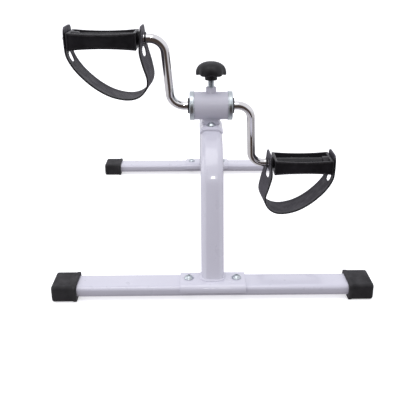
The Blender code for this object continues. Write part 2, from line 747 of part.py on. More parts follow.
def spindle_fittings(side, sign):
    y, z = pedal_axis(sign)
    axis = along_x(sign, y, z)
    hole = ROD_RADIUS + GAP
    push_nut = (
        (hole, PUSH_NUT_END), (PLUG_RADIUS, PUSH_NUT_END),
        (PLUG_RADIUS, PUSH_NUT_START), (hole, PUSH_NUT_START),
    )
    keep(turned(f"{side}_push_nut", push_nut, axis, closed=True), ZINC)
    collar = (
        (hole, COLLAR_END), (COLLAR_RADIUS, COLLAR_END),
        (COLLAR_RADIUS, COLLAR_START), (hole, COLLAR_START),
    )
    keep(turned(f"{side}_spindle_collar", collar, axis, closed=True), BLACK_PLASTIC)
    plug = (
        (0, PEG_END), (PEG_HEAD_RADIUS - MM, PEG_END), (PEG_HEAD_RADIUS, PEG_END - MM),
        (PEG_HEAD_RADIUS, PEG_HEAD_START), (PEG_RADIUS, PEG_HEAD_START),
        (PEG_RADIUS, PEDAL_OUTER), (PLUG_RADIUS, PEDAL_OUTER), (PLUG_RADIUS, PLUG_START),
        (0, PLUG_START),
    )
    keep(turned(f"{side}_end_plug", plug, axis), BLACK_PLASTIC)


def strap(side, sign):
    """A band that leaves the spindle, hangs in a loop and ends at the peg."""
    y, z = pedal_axis(sign)
    route = smooth_route(STRAP_ROUTE, 3)
    columns = 4
    mesh = bpy.data.meshes.new(f"{side}_strap")
    work = bmesh.new()
    length = [0.0]
    for before, after in zip(route, route[1:]):
        length.append(length[-1] + (after - before).length * MM)
    rows = []
    for stop, run in zip(route, length):
        to_end = min(run, length[-1] - run)
        short = max(0.0, STRAP_END_CORNER - to_end)
        inset = STRAP_END_CORNER - math.sqrt(max(0.0, STRAP_END_CORNER ** 2 - short ** 2))
        half = STRAP_WIDTH / 2 - inset
        row = []
        for column in range(columns + 1):
            share = 2 * column / columns - 1
            out = (stop.x - stop.z * share) * MM
            row.append(work.verts.new((sign * out, y + half * share, z + stop.y * MM)))
        rows.append(row)
    for row, following in zip(rows, rows[1:]):
        for i in range(columns):
            work.faces.new((row[i], row[i + 1], following[i + 1], following[i]))
    bmesh.ops.recalc_face_normals(work, faces=work.faces)
    work.to_mesh(mesh)
    work.free()
    band = bpy.data.objects.new(f"{side}_strap", mesh)
    sheet = band.modifiers.new("Thickness", "SOLIDIFY")
    sheet.thickness = STRAP_THICKNESS
    sheet.offset = 0

    axis = along_x(sign, y, z)
    middle = (PEDAL_INNER + PEDAL_OUTER) / 2
    combine(band, cylinder(f"{side}_spindle_hole", STRAP_SPINDLE_HOLE, ARM_AT_PEDAL, middle, axis))
    combine(band, cylinder(f"{side}_peg_hole", STRAP_PEG_HOLE, middle, PEG_END, axis, steps=16))
    slot = rounded_rectangle(STRAP_SLOT_WIDTH, STRAP_SLOT_HEIGHT, STRAP_SLOT_CORNER)
    spans = ((ARM_AT_PEDAL, middle), (middle, OVERALL_WIDTH / 2))
    for (near, far), drop in zip(spans, STRAP_SLOT_DROPS):
        cut = prism(f"{side}_slot", (slot,), far - near,
                    move(sign * (near + far) / 2, y, z - drop) @ ACROSS)
        combine(band, cut)
    keep(band, STRAP_RUBBER)


clear_scene()
parts = new_collection("pedal_exerciser")
cutters = new_collection("cutters")

base()
column()
hub_bracket()
hub_cradle()
hub_barrel()
tension_nut()
tension_stud()
tension_knob()
brake_shoe()
crank()
for side_name, side_sign in SIDES:
    bearing(side_name, side_sign)
    pedal(side_name, side_sign)
    spindle_fittings(side_name, side_sign)
    strap(side_name, side_sign)
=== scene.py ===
"""Pedal exerciser: the finished surfaces, materials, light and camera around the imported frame."""
import json
import math

import bmesh
import bpy
from mathutils import Matrix, Vector


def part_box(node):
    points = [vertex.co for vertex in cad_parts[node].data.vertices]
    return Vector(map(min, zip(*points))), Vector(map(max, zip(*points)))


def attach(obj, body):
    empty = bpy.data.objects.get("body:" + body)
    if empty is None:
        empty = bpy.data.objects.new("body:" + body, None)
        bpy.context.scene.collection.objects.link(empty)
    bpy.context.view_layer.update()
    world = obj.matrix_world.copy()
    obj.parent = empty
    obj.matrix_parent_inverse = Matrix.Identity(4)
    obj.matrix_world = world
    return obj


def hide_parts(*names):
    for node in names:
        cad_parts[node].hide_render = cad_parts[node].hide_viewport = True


MM = 0.001
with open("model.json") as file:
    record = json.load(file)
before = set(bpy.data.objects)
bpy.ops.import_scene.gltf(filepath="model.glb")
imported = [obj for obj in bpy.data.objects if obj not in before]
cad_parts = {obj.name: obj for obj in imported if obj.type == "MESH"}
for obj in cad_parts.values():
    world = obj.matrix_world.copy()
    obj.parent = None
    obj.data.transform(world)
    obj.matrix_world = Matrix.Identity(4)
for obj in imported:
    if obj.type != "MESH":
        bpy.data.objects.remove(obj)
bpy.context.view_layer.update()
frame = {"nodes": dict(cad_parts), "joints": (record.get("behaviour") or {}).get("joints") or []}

pivots = {joint["name"]: Vector(joint["pos_m"]) for joint in frame["joints"] if "pos_m" in joint}
HUB = pivots["crank_spin"]
SPINDLES = {"left": pivots["left_pedal_spin"], "right": pivots["right_pedal_spin"]}
SIDES = (("left", -1), ("right", 1))
ENDS = ("front", "rear")
GAP = 0.3 * MM                          # air between pieces that touch

# Stabiliser tubes, saddle plates and feet
TUBE_CORNER = 5.5 * MM
TUBE_WALL = 1.5 * MM
PLATE_THICKNESS = 2.5 * MM
BOLT_RADIUS = 3 * MM
BOLT_HOLE = 3.3 * MM
BOLT_NUT_FLATS = 10 * MM
FOOT_CORNER = 4 * MM
FOOT_END_WALL = 5 * MM
FOOT_LIP = 4 * MM                       # width of the thicker band round the boot's mouth
FOOT_LIP_RISE = 0.5 * MM
SOLE_GROOVES = 5

# Column: one bent tube with a steep front leg and a sloping rear one
COLUMN_DEPTH = 25 * MM
COLUMN_CORNER = 8 * MM
COLUMN_WALL = 1.5 * MM
FRONT_LEAN = math.radians(18)
REAR_SLOPE = math.radians(39)
LEG_INSET = 5 * MM                      # legs' centre lines from the tubes' centre lines
FRONT_BEND = 70 * MM
REAR_BEND = 90 * MM
COLUMN_WELD = 1.7 * MM
COPE_DROP = 0.6 * MM                    # how far the legs' ends follow the plates' rounded edges

# Hub
BRACKET_THICKNESS = 2 * MM
BRACKET_WRAP = math.radians(62)
BRACKET_LIP = 6 * MM
BARREL_BORE = 16 * MM
CUP_SHEET = 0.8 * MM
CUP_HOLE = 8 * MM
ROD_RADIUS = 5.5 * MM
ROD_BORE = 5.6 * MM
BUSH_RADIUS = 7.7 * MM
CRADLE_FLARE = 1 * MM

# Tension screw
STUD_RADIUS = 4 * MM
STUD_HOLE = 4.3 * MM
THREAD_PITCH = 1.25 * MM
THREAD_DEPTH = 0.55 * MM
NUT_FLATS = 13 * MM
KNOB_SKIRT_RISE = 6.5 * MM              # skirt's lower edge above the boss's end
KNOB_BORE = 13.5 * MM
KNOB_BOSS = 8 * MM
KNOB_LOBES = 6
KNOB_LOBE_DEPTH = 0.11
KNOB_NOTCH_LIFT = 1.5 * MM              # how far the skirt rises between two lobes

# Crank
CRANK_ANGLE = math.radians(20.8)
ARM_AT_HUB = 52 * MM
ARM_AT_PEDAL = 58 * MM
ROD_BEND = 19 * MM

# Pedals
PEDAL_INNER = 89 * MM
PEDAL_OUTER = 171 * MM
PEDAL_WAIST = 16.8 * MM
PEDAL_DROP = 1.5 * MM                   # pedal's middle below its spindle
PEDAL_EDGE = 1.3 * MM
PEDAL_WALL = 3.4 * MM
PEDAL_END_WALL = 4 * MM
PEDAL_WEB = 1.25 * MM                   # half the web's thickness
PEDAL_TUBE = 6.6 * MM
PEDAL_CUP = 8.7 * MM                    # tube's radius round the counterbore
PEDAL_PANEL = 0.5 * MM                  # how deep the front and back panels are let in
PEDAL_PANEL_BORDER = 2.6 * MM
PEDAL_RIBS = 2
PEDAL_RIB = 1 * MM                      # half a rib's thickness
PEDAL_RIB_HEIGHT = 0.45                 # share of the tray's depth
BOSS_RADIUS = 8 * MM
COUNTERBORE = 7.3 * MM
COUNTERBORE_START = 160 * MM
PLUG_RADIUS = 7 * MM
PEG_RADIUS = 2.5 * MM
PEG_HEAD = 3.1 * MM
PEG_HEAD_START = 174.2 * MM

# Foot straps
STRAP_WIDTH = 45 * MM
STRAP_THICKNESS = 2 * MM
STRAP_BORDER = 3.2 * MM                 # smooth edge beside the ribs, painted near-black as painted shade
STRAP_END_CORNER = 9 * MM
STRAP_SPINDLE_HOLE = 6.3 * MM
STRAP_PEG_HOLE = 2.9 * MM
STRAP_SLOT = (19 * MM, 12 * MM, 5.9 * MM)    # width, height, corner
STRAP_SLOT_DROPS = (15 * MM, 21 * MM)    # inner and outer slots below the spindle
RIB_PITCH = 2.0 * MM
RIB_HEIGHT = 0.36 * MM
RIB_SAMPLES = 4
RIB_FREE_END = 20 * MM                  # smooth tab at each end
# Middle line of the strap in mm: outward, up from the spindle, lean of the rear edge to the hub
STRAP_ROUTE = (
    (172.9, 15.0, 0.0), (172.9, 7.0, 0.0), (172.9, -6.0, 0.0), (171.3, -19.0, 0.0),
    (164.0, -32.5, 0.0), (152.5, -45.5, 0.0), (138.0, -57.3, 0.0), (121.5, -66.0, 0.0),
    (103.0, -69.8, 0.0), (88.5, -67.0, 0.5), (78.2, -57.5, 1.4), (75.0, -46.0, 2.6),
    (78.2, -31.0, 3.8), (82.2, -15.0, 3.6), (83.3, 0.0, 1.4), (83.4, 15.0, 0.2),
)

# Studio
BACKDROP_TONE = (1.0, 1.0, 1.0)         # what the camera itself sees behind the floor
STUDIO_TONE = (0.90, 0.90, 0.95)
TABLE_TONE = (0.66, 0.65, 0.69)
ROOM_TONE = (0.075, 0.058, 0.052)
ROOM_MIDDLE = (0.10, -0.30)             # the dark room's middle and half size, in X and Z
ROOM_HALF = (0.58, 0.78)
CAMERA_PLACE = (-0.0176, -0.9195, 0.3962)
CAMERA_TURN = (math.radians(90 - 22.30), 0, math.radians(-0.99))
CAMERA_LENS = 52.8                      # mm, on a sensor 36 mm wide


# Materials

class Nodes:
    """Short ways to add nodes to a material's or a world's tree."""

    def __init__(self, tree):
        self.tree = tree

    def add(self, kind, inputs, **settings):
        """Add a node; inputs are values or outputs of other nodes."""
        node = self.tree.nodes.new(kind)
        for key, value in settings.items():
            setattr(node, key, value)
        for key, value in inputs.items():
            if isinstance(value, bpy.types.NodeSocket):
                self.tree.links.new(value, node.inputs[key])
            else:
                node.inputs[key].default_value = value
        return node

    def spread(self, value, low, high, to_low=0.0, to_high=1.0, **settings):
        """Map a value from one range to another, held at its ends."""
        return self.add("ShaderNodeMapRange", {
            "Value": value, "From Min": low, "From Max": high,
            "To Min": to_low, "To Max": to_high,
        }, **settings).outputs["Result"]

    def times(self, first, second):
        return self.add("ShaderNodeMath", {0: first, 1: second}, operation="MULTIPLY").outputs[0]

    def blend(self, share, first, second):
        """Mix two colours, each a tuple or an output."""
        node = self.add("ShaderNodeMix", {"Factor": share}, data_type="RGBA")
        for index, colour in ((6, first), (7, second)):
            if isinstance(colour, bpy.types.NodeSocket):
                self.tree.links.new(colour, node.inputs[index])
            else:
                node.inputs[index].default_value = (*colour, 1)
        return node.outputs[2]


class Recipe(Nodes):
    """A Principled material, given its look by the nodes added to it."""

    def __init__(self, name, colour, roughness, metallic=0.0):
        self.material = bpy.data.materials.new(name)
        self.material.use_nodes = True
        super().__init__(self.material.node_tree)
        self.shader = self.tree.nodes["Principled BSDF"]
        self.set("Base Color", (*colour, 1))
        self.set("Roughness", roughness)
        self.set("Metallic", metallic)
        self.coordinates = self.tree.nodes.new("ShaderNodeTexCoord").outputs["Object"]

    def set(self, socket, value):
        """Set one of the shader's inputs, or link a node's output to it."""
        if isinstance(value, bpy.types.NodeSocket):
            self.tree.links.new(value, self.shader.inputs[socket])
        else:
            self.shader.inputs[socket].default_value = value

    def noise(self, scale, detail=3.0, stretch=(1, 1, 1)):
        """Noise with features about 1/scale metres across."""
        spot = self.add("ShaderNodeMapping", {"Vector": self.coordinates, "Scale": stretch})
        return self.add("ShaderNodeTexNoise", {
            "Vector": spot.outputs["Vector"], "Scale": scale, "Detail": detail,
        }).outputs["Fac"]

    def patches(self, scale, detail, low, high, *to):
        """Noise spread from a range of its own to another."""
        return self.spread(self.noise(scale, detail), low, high, *to)

    def bump(self, height, distance, strength=1.0, under=None):
        inputs = {"Height": height, "Distance": distance, "Strength": strength}
        if under is not None:
            inputs["Normal"] = under
        return self.add("ShaderNodeBump", inputs).outputs["Normal"]

    def edges(self, low, high):
        """1 on outer edges and crests and 0 on flats and hollows; it masks wear, and painted highlights
        on rib crests and plastic edges.
        """
        pointed = self.tree.nodes.new("ShaderNodeNewGeometry").outputs["Pointiness"]
        return self.spread(pointed, low, high)


def paint(name, painted_shade_factor, roughness, coat):
    """Lilac-white powder coat: satin gloss, faint orange peel, thinner on the edges."""
    # painted_shade_factor below 1 darkens the whole paint as painted shade
    light = tuple(painted_shade_factor * part for part in (0.685, 0.677, 0.768))
    dark = tuple(painted_shade_factor * part for part in (0.655, 0.645, 0.735))
    recipe = Recipe(name, light, roughness)
    clouds = recipe.patches(18, 5, 0.30, 0.70)
    tone = recipe.blend(clouds, dark, light)
    specks = recipe.patches(700, 2, 0.66, 0.72)
    tone = recipe.blend(recipe.times(specks, 0.25), tone, (0.50, 0.49, 0.55))
    worn = recipe.times(recipe.edges(0.56, 0.70), recipe.patches(300, 4, 0.4, 0.6))
    recipe.set("Base Color", recipe.blend(
        recipe.times(worn, 0.4), tone, (0.82, 0.82, 0.86)))
    recipe.set("Roughness", recipe.patches(60, 4, 0.3, 0.7, roughness - 0.05, roughness + 0.05))
    peel = recipe.bump(recipe.noise(520, 2), 0.03 * MM, 0.5)
    recipe.set("Normal", recipe.bump(recipe.noise(60, 2), 0.10 * MM, 0.4, peel))
    recipe.set("Coat Weight", coat)
    recipe.set("Coat Roughness", 0.09)
    return recipe.material


def rubber():
    """Moulded matte rubber, greyer where dust and wear sit."""
    recipe = Recipe("foot_rubber", (0.022, 0.021, 0.023), 0.7)
    dust = recipe.patches(70, 5, 0.35, 0.75)
    tone = recipe.blend(dust, (0.016, 0.015, 0.017), (0.036, 0.034, 0.037))
    worn = recipe.times(recipe.edges(0.52, 0.60), recipe.patches(160, 4, 0.3, 0.7))
    recipe.set("Base Color", recipe.blend(worn, tone, (0.085, 0.083, 0.088)))
    recipe.set("Roughness", recipe.patches(110, 4, 0.3, 0.7, 0.58, 0.80))
    grain = recipe.bump(recipe.noise(1500, 2), 0.06 * MM, 0.6)
    recipe.set("Normal", recipe.bump(recipe.noise(220, 3), 0.12 * MM, 0.4, grain))
    recipe.set("Specular IOR Level", 0.35)
    return recipe.material


def zinc():
    """Bright zinc plate: bluish, slightly clouded, with fine handling marks."""
    recipe = Recipe("zinc", (0.60, 0.65, 0.68), 0.22, 1.0)
    clouds = recipe.patches(500, 4, 0.35, 0.65)
    tone = recipe.blend(clouds, (0.50, 0.55, 0.58), (0.58, 0.62, 0.64))
    stain = recipe.patches(90, 3, 0.58, 0.72)
    recipe.set("Base Color", recipe.blend(recipe.times(stain, 0.25), tone, (0.55, 0.56, 0.50)))
    recipe.set("Roughness", recipe.patches(400, 4, 0.3, 0.7, 0.27, 0.38))
    recipe.set("Normal", recipe.bump(recipe.noise(1500, 3, (1, 1, 0.25)), 0.008 * MM, 0.4))
    return recipe.material


def chrome():
    """Bright chrome with faint smudges and hairline scratches."""
    recipe = Recipe("chrome", (0.78, 0.77, 0.77), 0.06, 1.0)
    smudge = recipe.patches(38, 5, 0.45, 0.75)
    recipe.set("Base Color", recipe.blend(smudge, (0.80, 0.79, 0.79), (0.68, 0.66, 0.64)))
    hair = recipe.spread(recipe.noise(900, 2, (0.06, 1, 1)), 0.62, 0.70, 0.0, 0.10)
    smear = recipe.spread(smudge, 0.0, 1.0, 0.045, 0.14)
    recipe.set("Roughness", recipe.add(
        "ShaderNodeMath", {0: smear, 1: hair}, operation="ADD").outputs[0])
    recipe.set("Normal", recipe.bump(recipe.noise(90, 2), 0.02 * MM, 0.4))
    return recipe.material


def moulded(name, dark, light, roughness, scuff_and_sheen):
    """Black moulded plastic: fine grain, its edges painted paler, partly as scuffing and partly as a
    painted highlight.
    """
    recipe = Recipe(name, dark, roughness)
    clouds = recipe.patches(55, 4, 0.35, 0.7)
    tone = recipe.blend(clouds, dark, light)
    # Paler outer edges: real scuffing plus a painted highlight where the top light catches the rims
    rubbed_and_lit_edges = recipe.times(
        recipe.edges(0.515, 0.575), recipe.patches(240, 5, 0.35, 0.62))
    recipe.set("Base Color", recipe.blend(recipe.times(rubbed_and_lit_edges, 0.8), tone, scuff_and_sheen))
    recipe.set("Roughness", recipe.patches(130, 4, 0.3, 0.7, roughness - 0.07, roughness + 0.09))
    recipe.set("Specular IOR Level", 0.32)
    grain = recipe.bump(recipe.noise(1700, 2), 0.035 * MM, 0.6)
    recipe.set("Normal", recipe.bump(recipe.noise(30, 2), 0.25 * MM, 0.25, grain))
    return recipe.material


def strap_rubber():
    """Ribbed strap rubber: purple-grey, its rib crests painted paler as a painted highlight."""
    recipe = Recipe("strap_rubber", (0.05, 0.045, 0.056), 0.6)
    clouds = recipe.patches(32, 4, 0.35, 0.7)
    tone = recipe.blend(clouds, (0.030, 0.027, 0.036), (0.052, 0.047, 0.060))
    # Rib crests painted paler than the valleys: painted highlight and shade on the ribs
    painted_crest_highlight = recipe.edges(0.50, 0.54)
    recipe.set("Base Color", recipe.blend(recipe.times(painted_crest_highlight, 0.7), tone, (0.12, 0.11, 0.13)))
    recipe.set("Roughness", recipe.patches(90, 4, 0.3, 0.7, 0.48, 0.66))
    recipe.set("Normal", recipe.bump(recipe.noise(1300, 2), 0.04 * MM, 0.5))
    recipe.set("Specular IOR Level", 0.3)
    return recipe.material


def nylon():
    recipe = Recipe("nylon", (0.70, 0.68, 0.60), 0.5)
    recipe.set("Base Color", recipe.blend(
        recipe.noise(120, 3), (0.64, 0.62, 0.54), (0.74, 0.72, 0.65)))
    recipe.set("Normal", recipe.bump(recipe.noise(900, 2), 0.03 * MM, 0.5))
    recipe.set("Subsurface Weight", 0.1)
    return recipe.material


PAINT = paint("frame_paint", 1.0, 0.31, 0.8)
# The barrel's paint: its own lower gloss, and darkened to 0.92 of the frame paint as painted shade on
# the barrel and its nut
SHADED_BARREL_PAINT = paint("barrel_paint_shaded", 0.92, 0.45, 0.1)
RUBBER = rubber()
ZINC = zinc()
CHROME = chrome()
PEDAL_PLASTIC = moulded("pedal_plastic", (0.0075, 0.0070, 0.0090), (0.0150, 0.0140, 0.0170),
                        0.36, (0.060, 0.055, 0.060))
KNOB_PLASTIC = moulded("knob_plastic", (0.0100, 0.0095, 0.0110), (0.0180, 0.0170, 0.0200),
                       0.46, (0.045, 0.043, 0.048))
STRAP_RUBBER = strap_rubber()
# Near-black material for the strap's borders and edges: painted shade
STRAP_SHADED_EDGE = moulded("strap_edge_shaded", (0.005, 0.0045, 0.006), (0.010, 0.009, 0.012),
                     0.50, (0.020, 0.018, 0.022))
NYLON = nylon()


# Mesh tools

def piece(name, mesh, finish, sharp=40):
    obj = bpy.data.objects.new(name, mesh)
    bpy.context.scene.collection.objects.link(obj)
    if finish is not None:
        mesh.materials.append(finish)
    mesh.shade_smooth()
    mesh.set_sharp_from_angle(angle=math.radians(sharp))
    return obj


def skin(name, rings, finish=None, closed=False, sharp=40):
    """One closed surface through rings of points; closed joins the last ring to the first."""
    work = bmesh.new()
    rows = [[work.verts.new(point) for point in ring] for ring in rings]
    pairs = list(zip(rows, rows[1:]))
    if closed:
        pairs.append((rows[-1], rows[0]))
    else:
        work.faces.new(rows[0])
        work.faces.new(rows[-1])
    for row, following in pairs:
        for i in range(len(row)):
            j = (i + 1) % len(row)
            work.faces.new((row[i], row[j], following[j], following[i]))
    bmesh.ops.remove_doubles(work, verts=work.verts, dist=0.001 * MM)
    bmesh.ops.recalc_face_normals(work, faces=work.faces)
    mesh = bpy.data.meshes.new(name)
    work.to_mesh(mesh)
    work.free()
    return piece(name, mesh, finish, sharp)


def turned(name, profile, place, finish=None, steps=72, closed=False, shape=None):
    """Turn (radius, height) points about local Z; shape may change a point by its angle."""
    rings = []
    for radius, height in profile:
        ring = []
        for i in range(steps):
            angle = 2 * math.pi * i / steps
            r, h = shape(radius, height, angle) if shape else (radius, height)
            ring.append(place @ Vector((r * math.cos(angle), r * math.sin(angle), h)))
        rings.append(ring)
    return skin(name, rings, finish, closed)


def pipe(name, path, radius, up, finish, sides=24, closed=False):
    """A round bar along a path; radius is a number or a function of the point's index."""
    rings = []
    count = len(path)
    for i, point in enumerate(path):
        if closed:
            tangent = path[(i + 1) % count] - path[i - 1]
        else:
            tangent = path[min(i + 1, count - 1)] - path[max(i - 1, 0)]
        side = tangent.cross(up).normalized()
        top = side.cross(tangent).normalized()
        size = radius(i) if callable(radius) else radius
        rings.append([
            point + size * (side * math.cos(angle) + top * math.sin(angle))
            for angle in (2 * math.pi * k / sides for k in range(sides))
        ])
    return skin(name, rings, finish, closed)


def bake(obj):
    """Replace an object's mesh by what its modifiers make of it."""
    graph = bpy.context.evaluated_depsgraph_get()
    mesh = bpy.data.meshes.new_from_object(obj.evaluated_get(graph))
    obj.modifiers.clear()
    obj.data = mesh
    return obj


def cut(obj, *cutters, sharp=40):
    """Take cutters out of an object and remove them."""
    for cutter in cutters:
        modifier = obj.modifiers.new("Cut", "BOOLEAN")
        modifier.operation = "DIFFERENCE"
        modifier.solver = "EXACT"
        modifier.object = cutter
    bake(obj)
    for cutter in cutters:
        bpy.data.objects.remove(cutter, do_unlink=True)
    obj.data.shade_smooth()
    obj.data.set_sharp_from_angle(angle=math.radians(sharp))
    return obj


def bevel(obj, width, segments=3, angle=40):
    modifier = obj.modifiers.new("Edges", "BEVEL")
    modifier.width = width
    modifier.segments = segments
    modifier.limit_method = "ANGLE"
    modifier.angle_limit = math.radians(angle)
    modifier.harden_normals = True
    return obj


def settle(obj, body, slot, *nodes):
    """Make a piece ride on a body and hide the CAD nodes it stands for; its slot is not used."""
    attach(obj, body)
    if nodes:
        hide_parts(*nodes)
    return obj


def arc(centre, radius, start, end, steps):
    return [
        Vector((centre[0] + radius * math.cos(start + (end - start) * i / steps),
                centre[1] + radius * math.sin(start + (end - start) * i / steps)))
        for i in range(steps + 1)
    ]


def rounded_rectangle(width, height, radius, steps=8):
    """Corner arcs of a rectangle about the origin, counter-clockwise from +X."""
    points = []
    for across, up, turn in ((1, 1, 0), (-1, 1, 1), (-1, -1, 2), (1, -1, 3)):
        centre = (across * (width / 2 - radius), up * (height / 2 - radius))
        points += arc(centre, radius, turn * math.pi / 2, (turn + 1) * math.pi / 2, steps)
    return points


def soften(points, radius, steps=3, closed=False):
    """Round the corners of an outline, less where an edge is too short."""
    points = [Vector(point) for point in points]
    count = len(points)
    result = []
    for i, corner in enumerate(points):
        if not closed and i in (0, count - 1):
            result.append(corner)
            continue
        back = points[i - 1] - corner
        ahead = points[(i + 1) % count] - corner
        half = back.angle(ahead) / 2
        reach = min(radius / math.tan(half), 0.45 * back.length, 0.45 * ahead.length)
        start = corner + back.normalized() * reach
        end = corner + ahead.normalized() * reach
        for k in range(steps + 1):
            t = k / steps
            result.append(start * (1 - t) ** 2 + corner * 2 * t * (1 - t) + end * t * t)
    return result


def filleted(corners, radius, steps):
    """A flat path through corners, its inner corners replaced by tangent arcs."""
    path = [Vector(corners[0])]
    radii = radius if isinstance(radius, tuple) else (radius,) * (len(corners) - 2)
    for before, corner, after, bend in zip(corners, corners[1:], corners[2:], radii):
        corner = Vector(corner)
        back = (Vector(before) - corner).normalized()
        ahead = (Vector(after) - corner).normalized()
        half = back.angle(ahead) / 2
        centre = corner + (back + ahead).normalized() * bend / math.sin(half)
        start = corner + back * bend / math.tan(half) - centre
        end = corner + ahead * bend / math.tan(half) - centre
        turn = start.angle(end)
        for i in range(steps + 1):
            share = i / steps
            path.append(centre + (
                start * math.sin((1 - share) * turn) + end * math.sin(share * turn)
            ) / math.sin(turn))
    path.append(Vector(corners[-1]))
    return path


def even(path, spacing):
    """Add points to a path's long straights."""
    result = [path[0]]
    for a, b in zip(path, path[1:]):
        steps = max(1, round((b - a).length / spacing))
        result += [a.lerp(b, i / steps) for i in range(1, steps + 1)]
    return result


def across(outline, x, centre=Vector((0, 0, 0))):
    """Lay a flat outline in the plane across X."""
    return [Vector((x, centre.y + point[0], centre.z + point[1])) for point in outline]


def spaced(low, high, spacing=8 * MM, edge=0.8 * MM):
    """Stops from low to high, with a close pair at each end."""
    count = max(1, round((high - low) / spacing))
    inner = [low + edge + (high - low - 2 * edge) * i / count for i in range(count + 1)]
    return [low] + inner + [high]


def centre_of(node):
    """The middle and the size of a CAD node's box."""
    low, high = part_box(node)
    return (low + high) / 2, high - low


def along_x(sign, centre):
    """Placing for a turned piece whose height runs outwards along X."""
    return Matrix.Translation((0, centre.y, centre.z)) @ Matrix.Rotation(
        math.radians(90 * sign), 4, "Y")


def upright(x, y):
    """Placing for a turned piece that stands at x, y."""
    return Matrix.Translation((x, y, 0))


def drill(radius, low, high, place, steps=32):
    """A plain cylinder to cut with, from low to high on the placing's axis."""
    return turned("drill", ((0, high), (radius, high), (radius, low), (0, low)), place, steps=steps)


# Base

def stabiliser(end):
    node = f"{end}_stabiliser_tube"
    centre, size = centre_of(node)
    outer = rounded_rectangle(size.y, size.z, TUBE_CORNER, 10)
    inner = rounded_rectangle(
        size.y - 2 * TUBE_WALL, size.z - 2 * TUBE_WALL, TUBE_CORNER - TUBE_WALL, 10)
    stops = spaced(-size.x / 2, size.x / 2)
    rings = [across(outer, x, centre) for x in stops]
    rings += [across(inner, x, centre) for x in reversed(stops)]
    tube = skin(f"{end}_tube", rings, PAINT, closed=True)
    drills = [
        drill(BOLT_HOLE, 0, 2 * size.z, upright(bolt_x(end, side), centre.y))
        for side, _ in SIDES
    ]
    settle(cut(tube, *drills), "frame", "frame_paint", node)


def bolt_x(end, side):
    return centre_of(f"{end}_{side}_bolt")[0].x


def foot(end, side, sign):
    """A rubber boot: a thicker band round its mouth, rounded corners and a grooved sole."""
    node = f"{end}_{side}_foot"
    centre, size = centre_of(node)
    outer_x = centre.x + sign * size.x / 2
    pocket_centre, tube = centre_of(f"{end}_stabiliser_tube")
    ridge = FOOT_LIP_RISE
    shape = (
        (0, 3.4 * MM), (0.25 * MM, 2.3 * MM), (0.9 * MM, 1.3 * MM), (2.0 * MM, 0.65 * MM),
        (3.6 * MM, ridge), (size.x - FOOT_LIP - 0.8 * MM, ridge), (size.x - FOOT_LIP, 0),
        (size.x - 0.9 * MM, 0), (size.x - 0.25 * MM, 0.25 * MM), (size.x, 0.9 * MM),
    )
    rings = []
    for depth, inset in shape:
        corner = max(FOOT_CORNER - inset / 2, 1 * MM)
        outline = rounded_rectangle(size.y - 2 * inset, size.z - 2 * inset, corner, 8)
        rings.append(across(outline, outer_x - sign * depth, centre))
    mouth = rounded_rectangle(tube.y + 2 * GAP, tube.z + 2 * GAP, TUBE_CORNER + GAP, 8)
    rings.append(across(mouth, outer_x - sign * size.x, pocket_centre))
    rings.append(across(mouth, outer_x - sign * FOOT_END_WALL, pocket_centre))
    boot = skin(f"{end}_{side}_boot", rings, RUBBER, sharp=50)
    grooves = []
    for number in range(SOLE_GROOVES):
        share = (number + 1) / (SOLE_GROOVES + 1) - 0.5
        x = centre.x + share * size.x
        path = [Vector((x, centre.y + along * size.y, 0)) for along in (-0.38, 0.38)]
        grooves.append(pipe("groove", path, 0.9 * MM, Vector((0, 0, 1)), None, 12))
    settle(cut(boot, *grooves, sharp=50), "frame", "foot_rubber", node)


def saddle_top(end, y):
    """Height of a saddle plate's upper surface at y."""
    centre, size = centre_of(f"{end}_saddle_plate")
    radius = TUBE_CORNER + GAP + PLATE_THICKNESS
    past = min(max(0.0, abs(y - centre.y) - (size.y / 2 - radius)), radius)
    return centre.z + size.z / 2 - radius + math.sqrt(radius ** 2 - past ** 2)


def saddle_plate(end):
    node = f"{end}_saddle_plate"
    centre, size = centre_of(node)
    outline = []
    for inset in (0, PLATE_THICKNESS):
        radius = TUBE_CORNER + GAP + PLATE_THICKNESS - inset
        half = size.y / 2 - inset
        top = size.z / 2 - inset
        side = [Vector((half, -size.z / 2))]
        side += arc((half - radius, top - radius), radius, 0, math.pi / 2, 10)
        side += [Vector((-point.x, point.y)) for point in reversed(side)]
        outline += side if inset == 0 else side[::-1]
    rings = [across(outline, x, centre) for x in spaced(-size.x / 2, size.x / 2)]
    plate = skin(f"{end}_plate", rings, PAINT)
    drills = [
        drill(BOLT_HOLE, centre.z, 2 * centre.z, upright(bolt_x(end, side), centre.y))
        for side, _ in SIDES
    ]
    bevel(cut(plate, *drills), 0.7 * MM)
    settle(plate, "frame", "frame_paint", node)


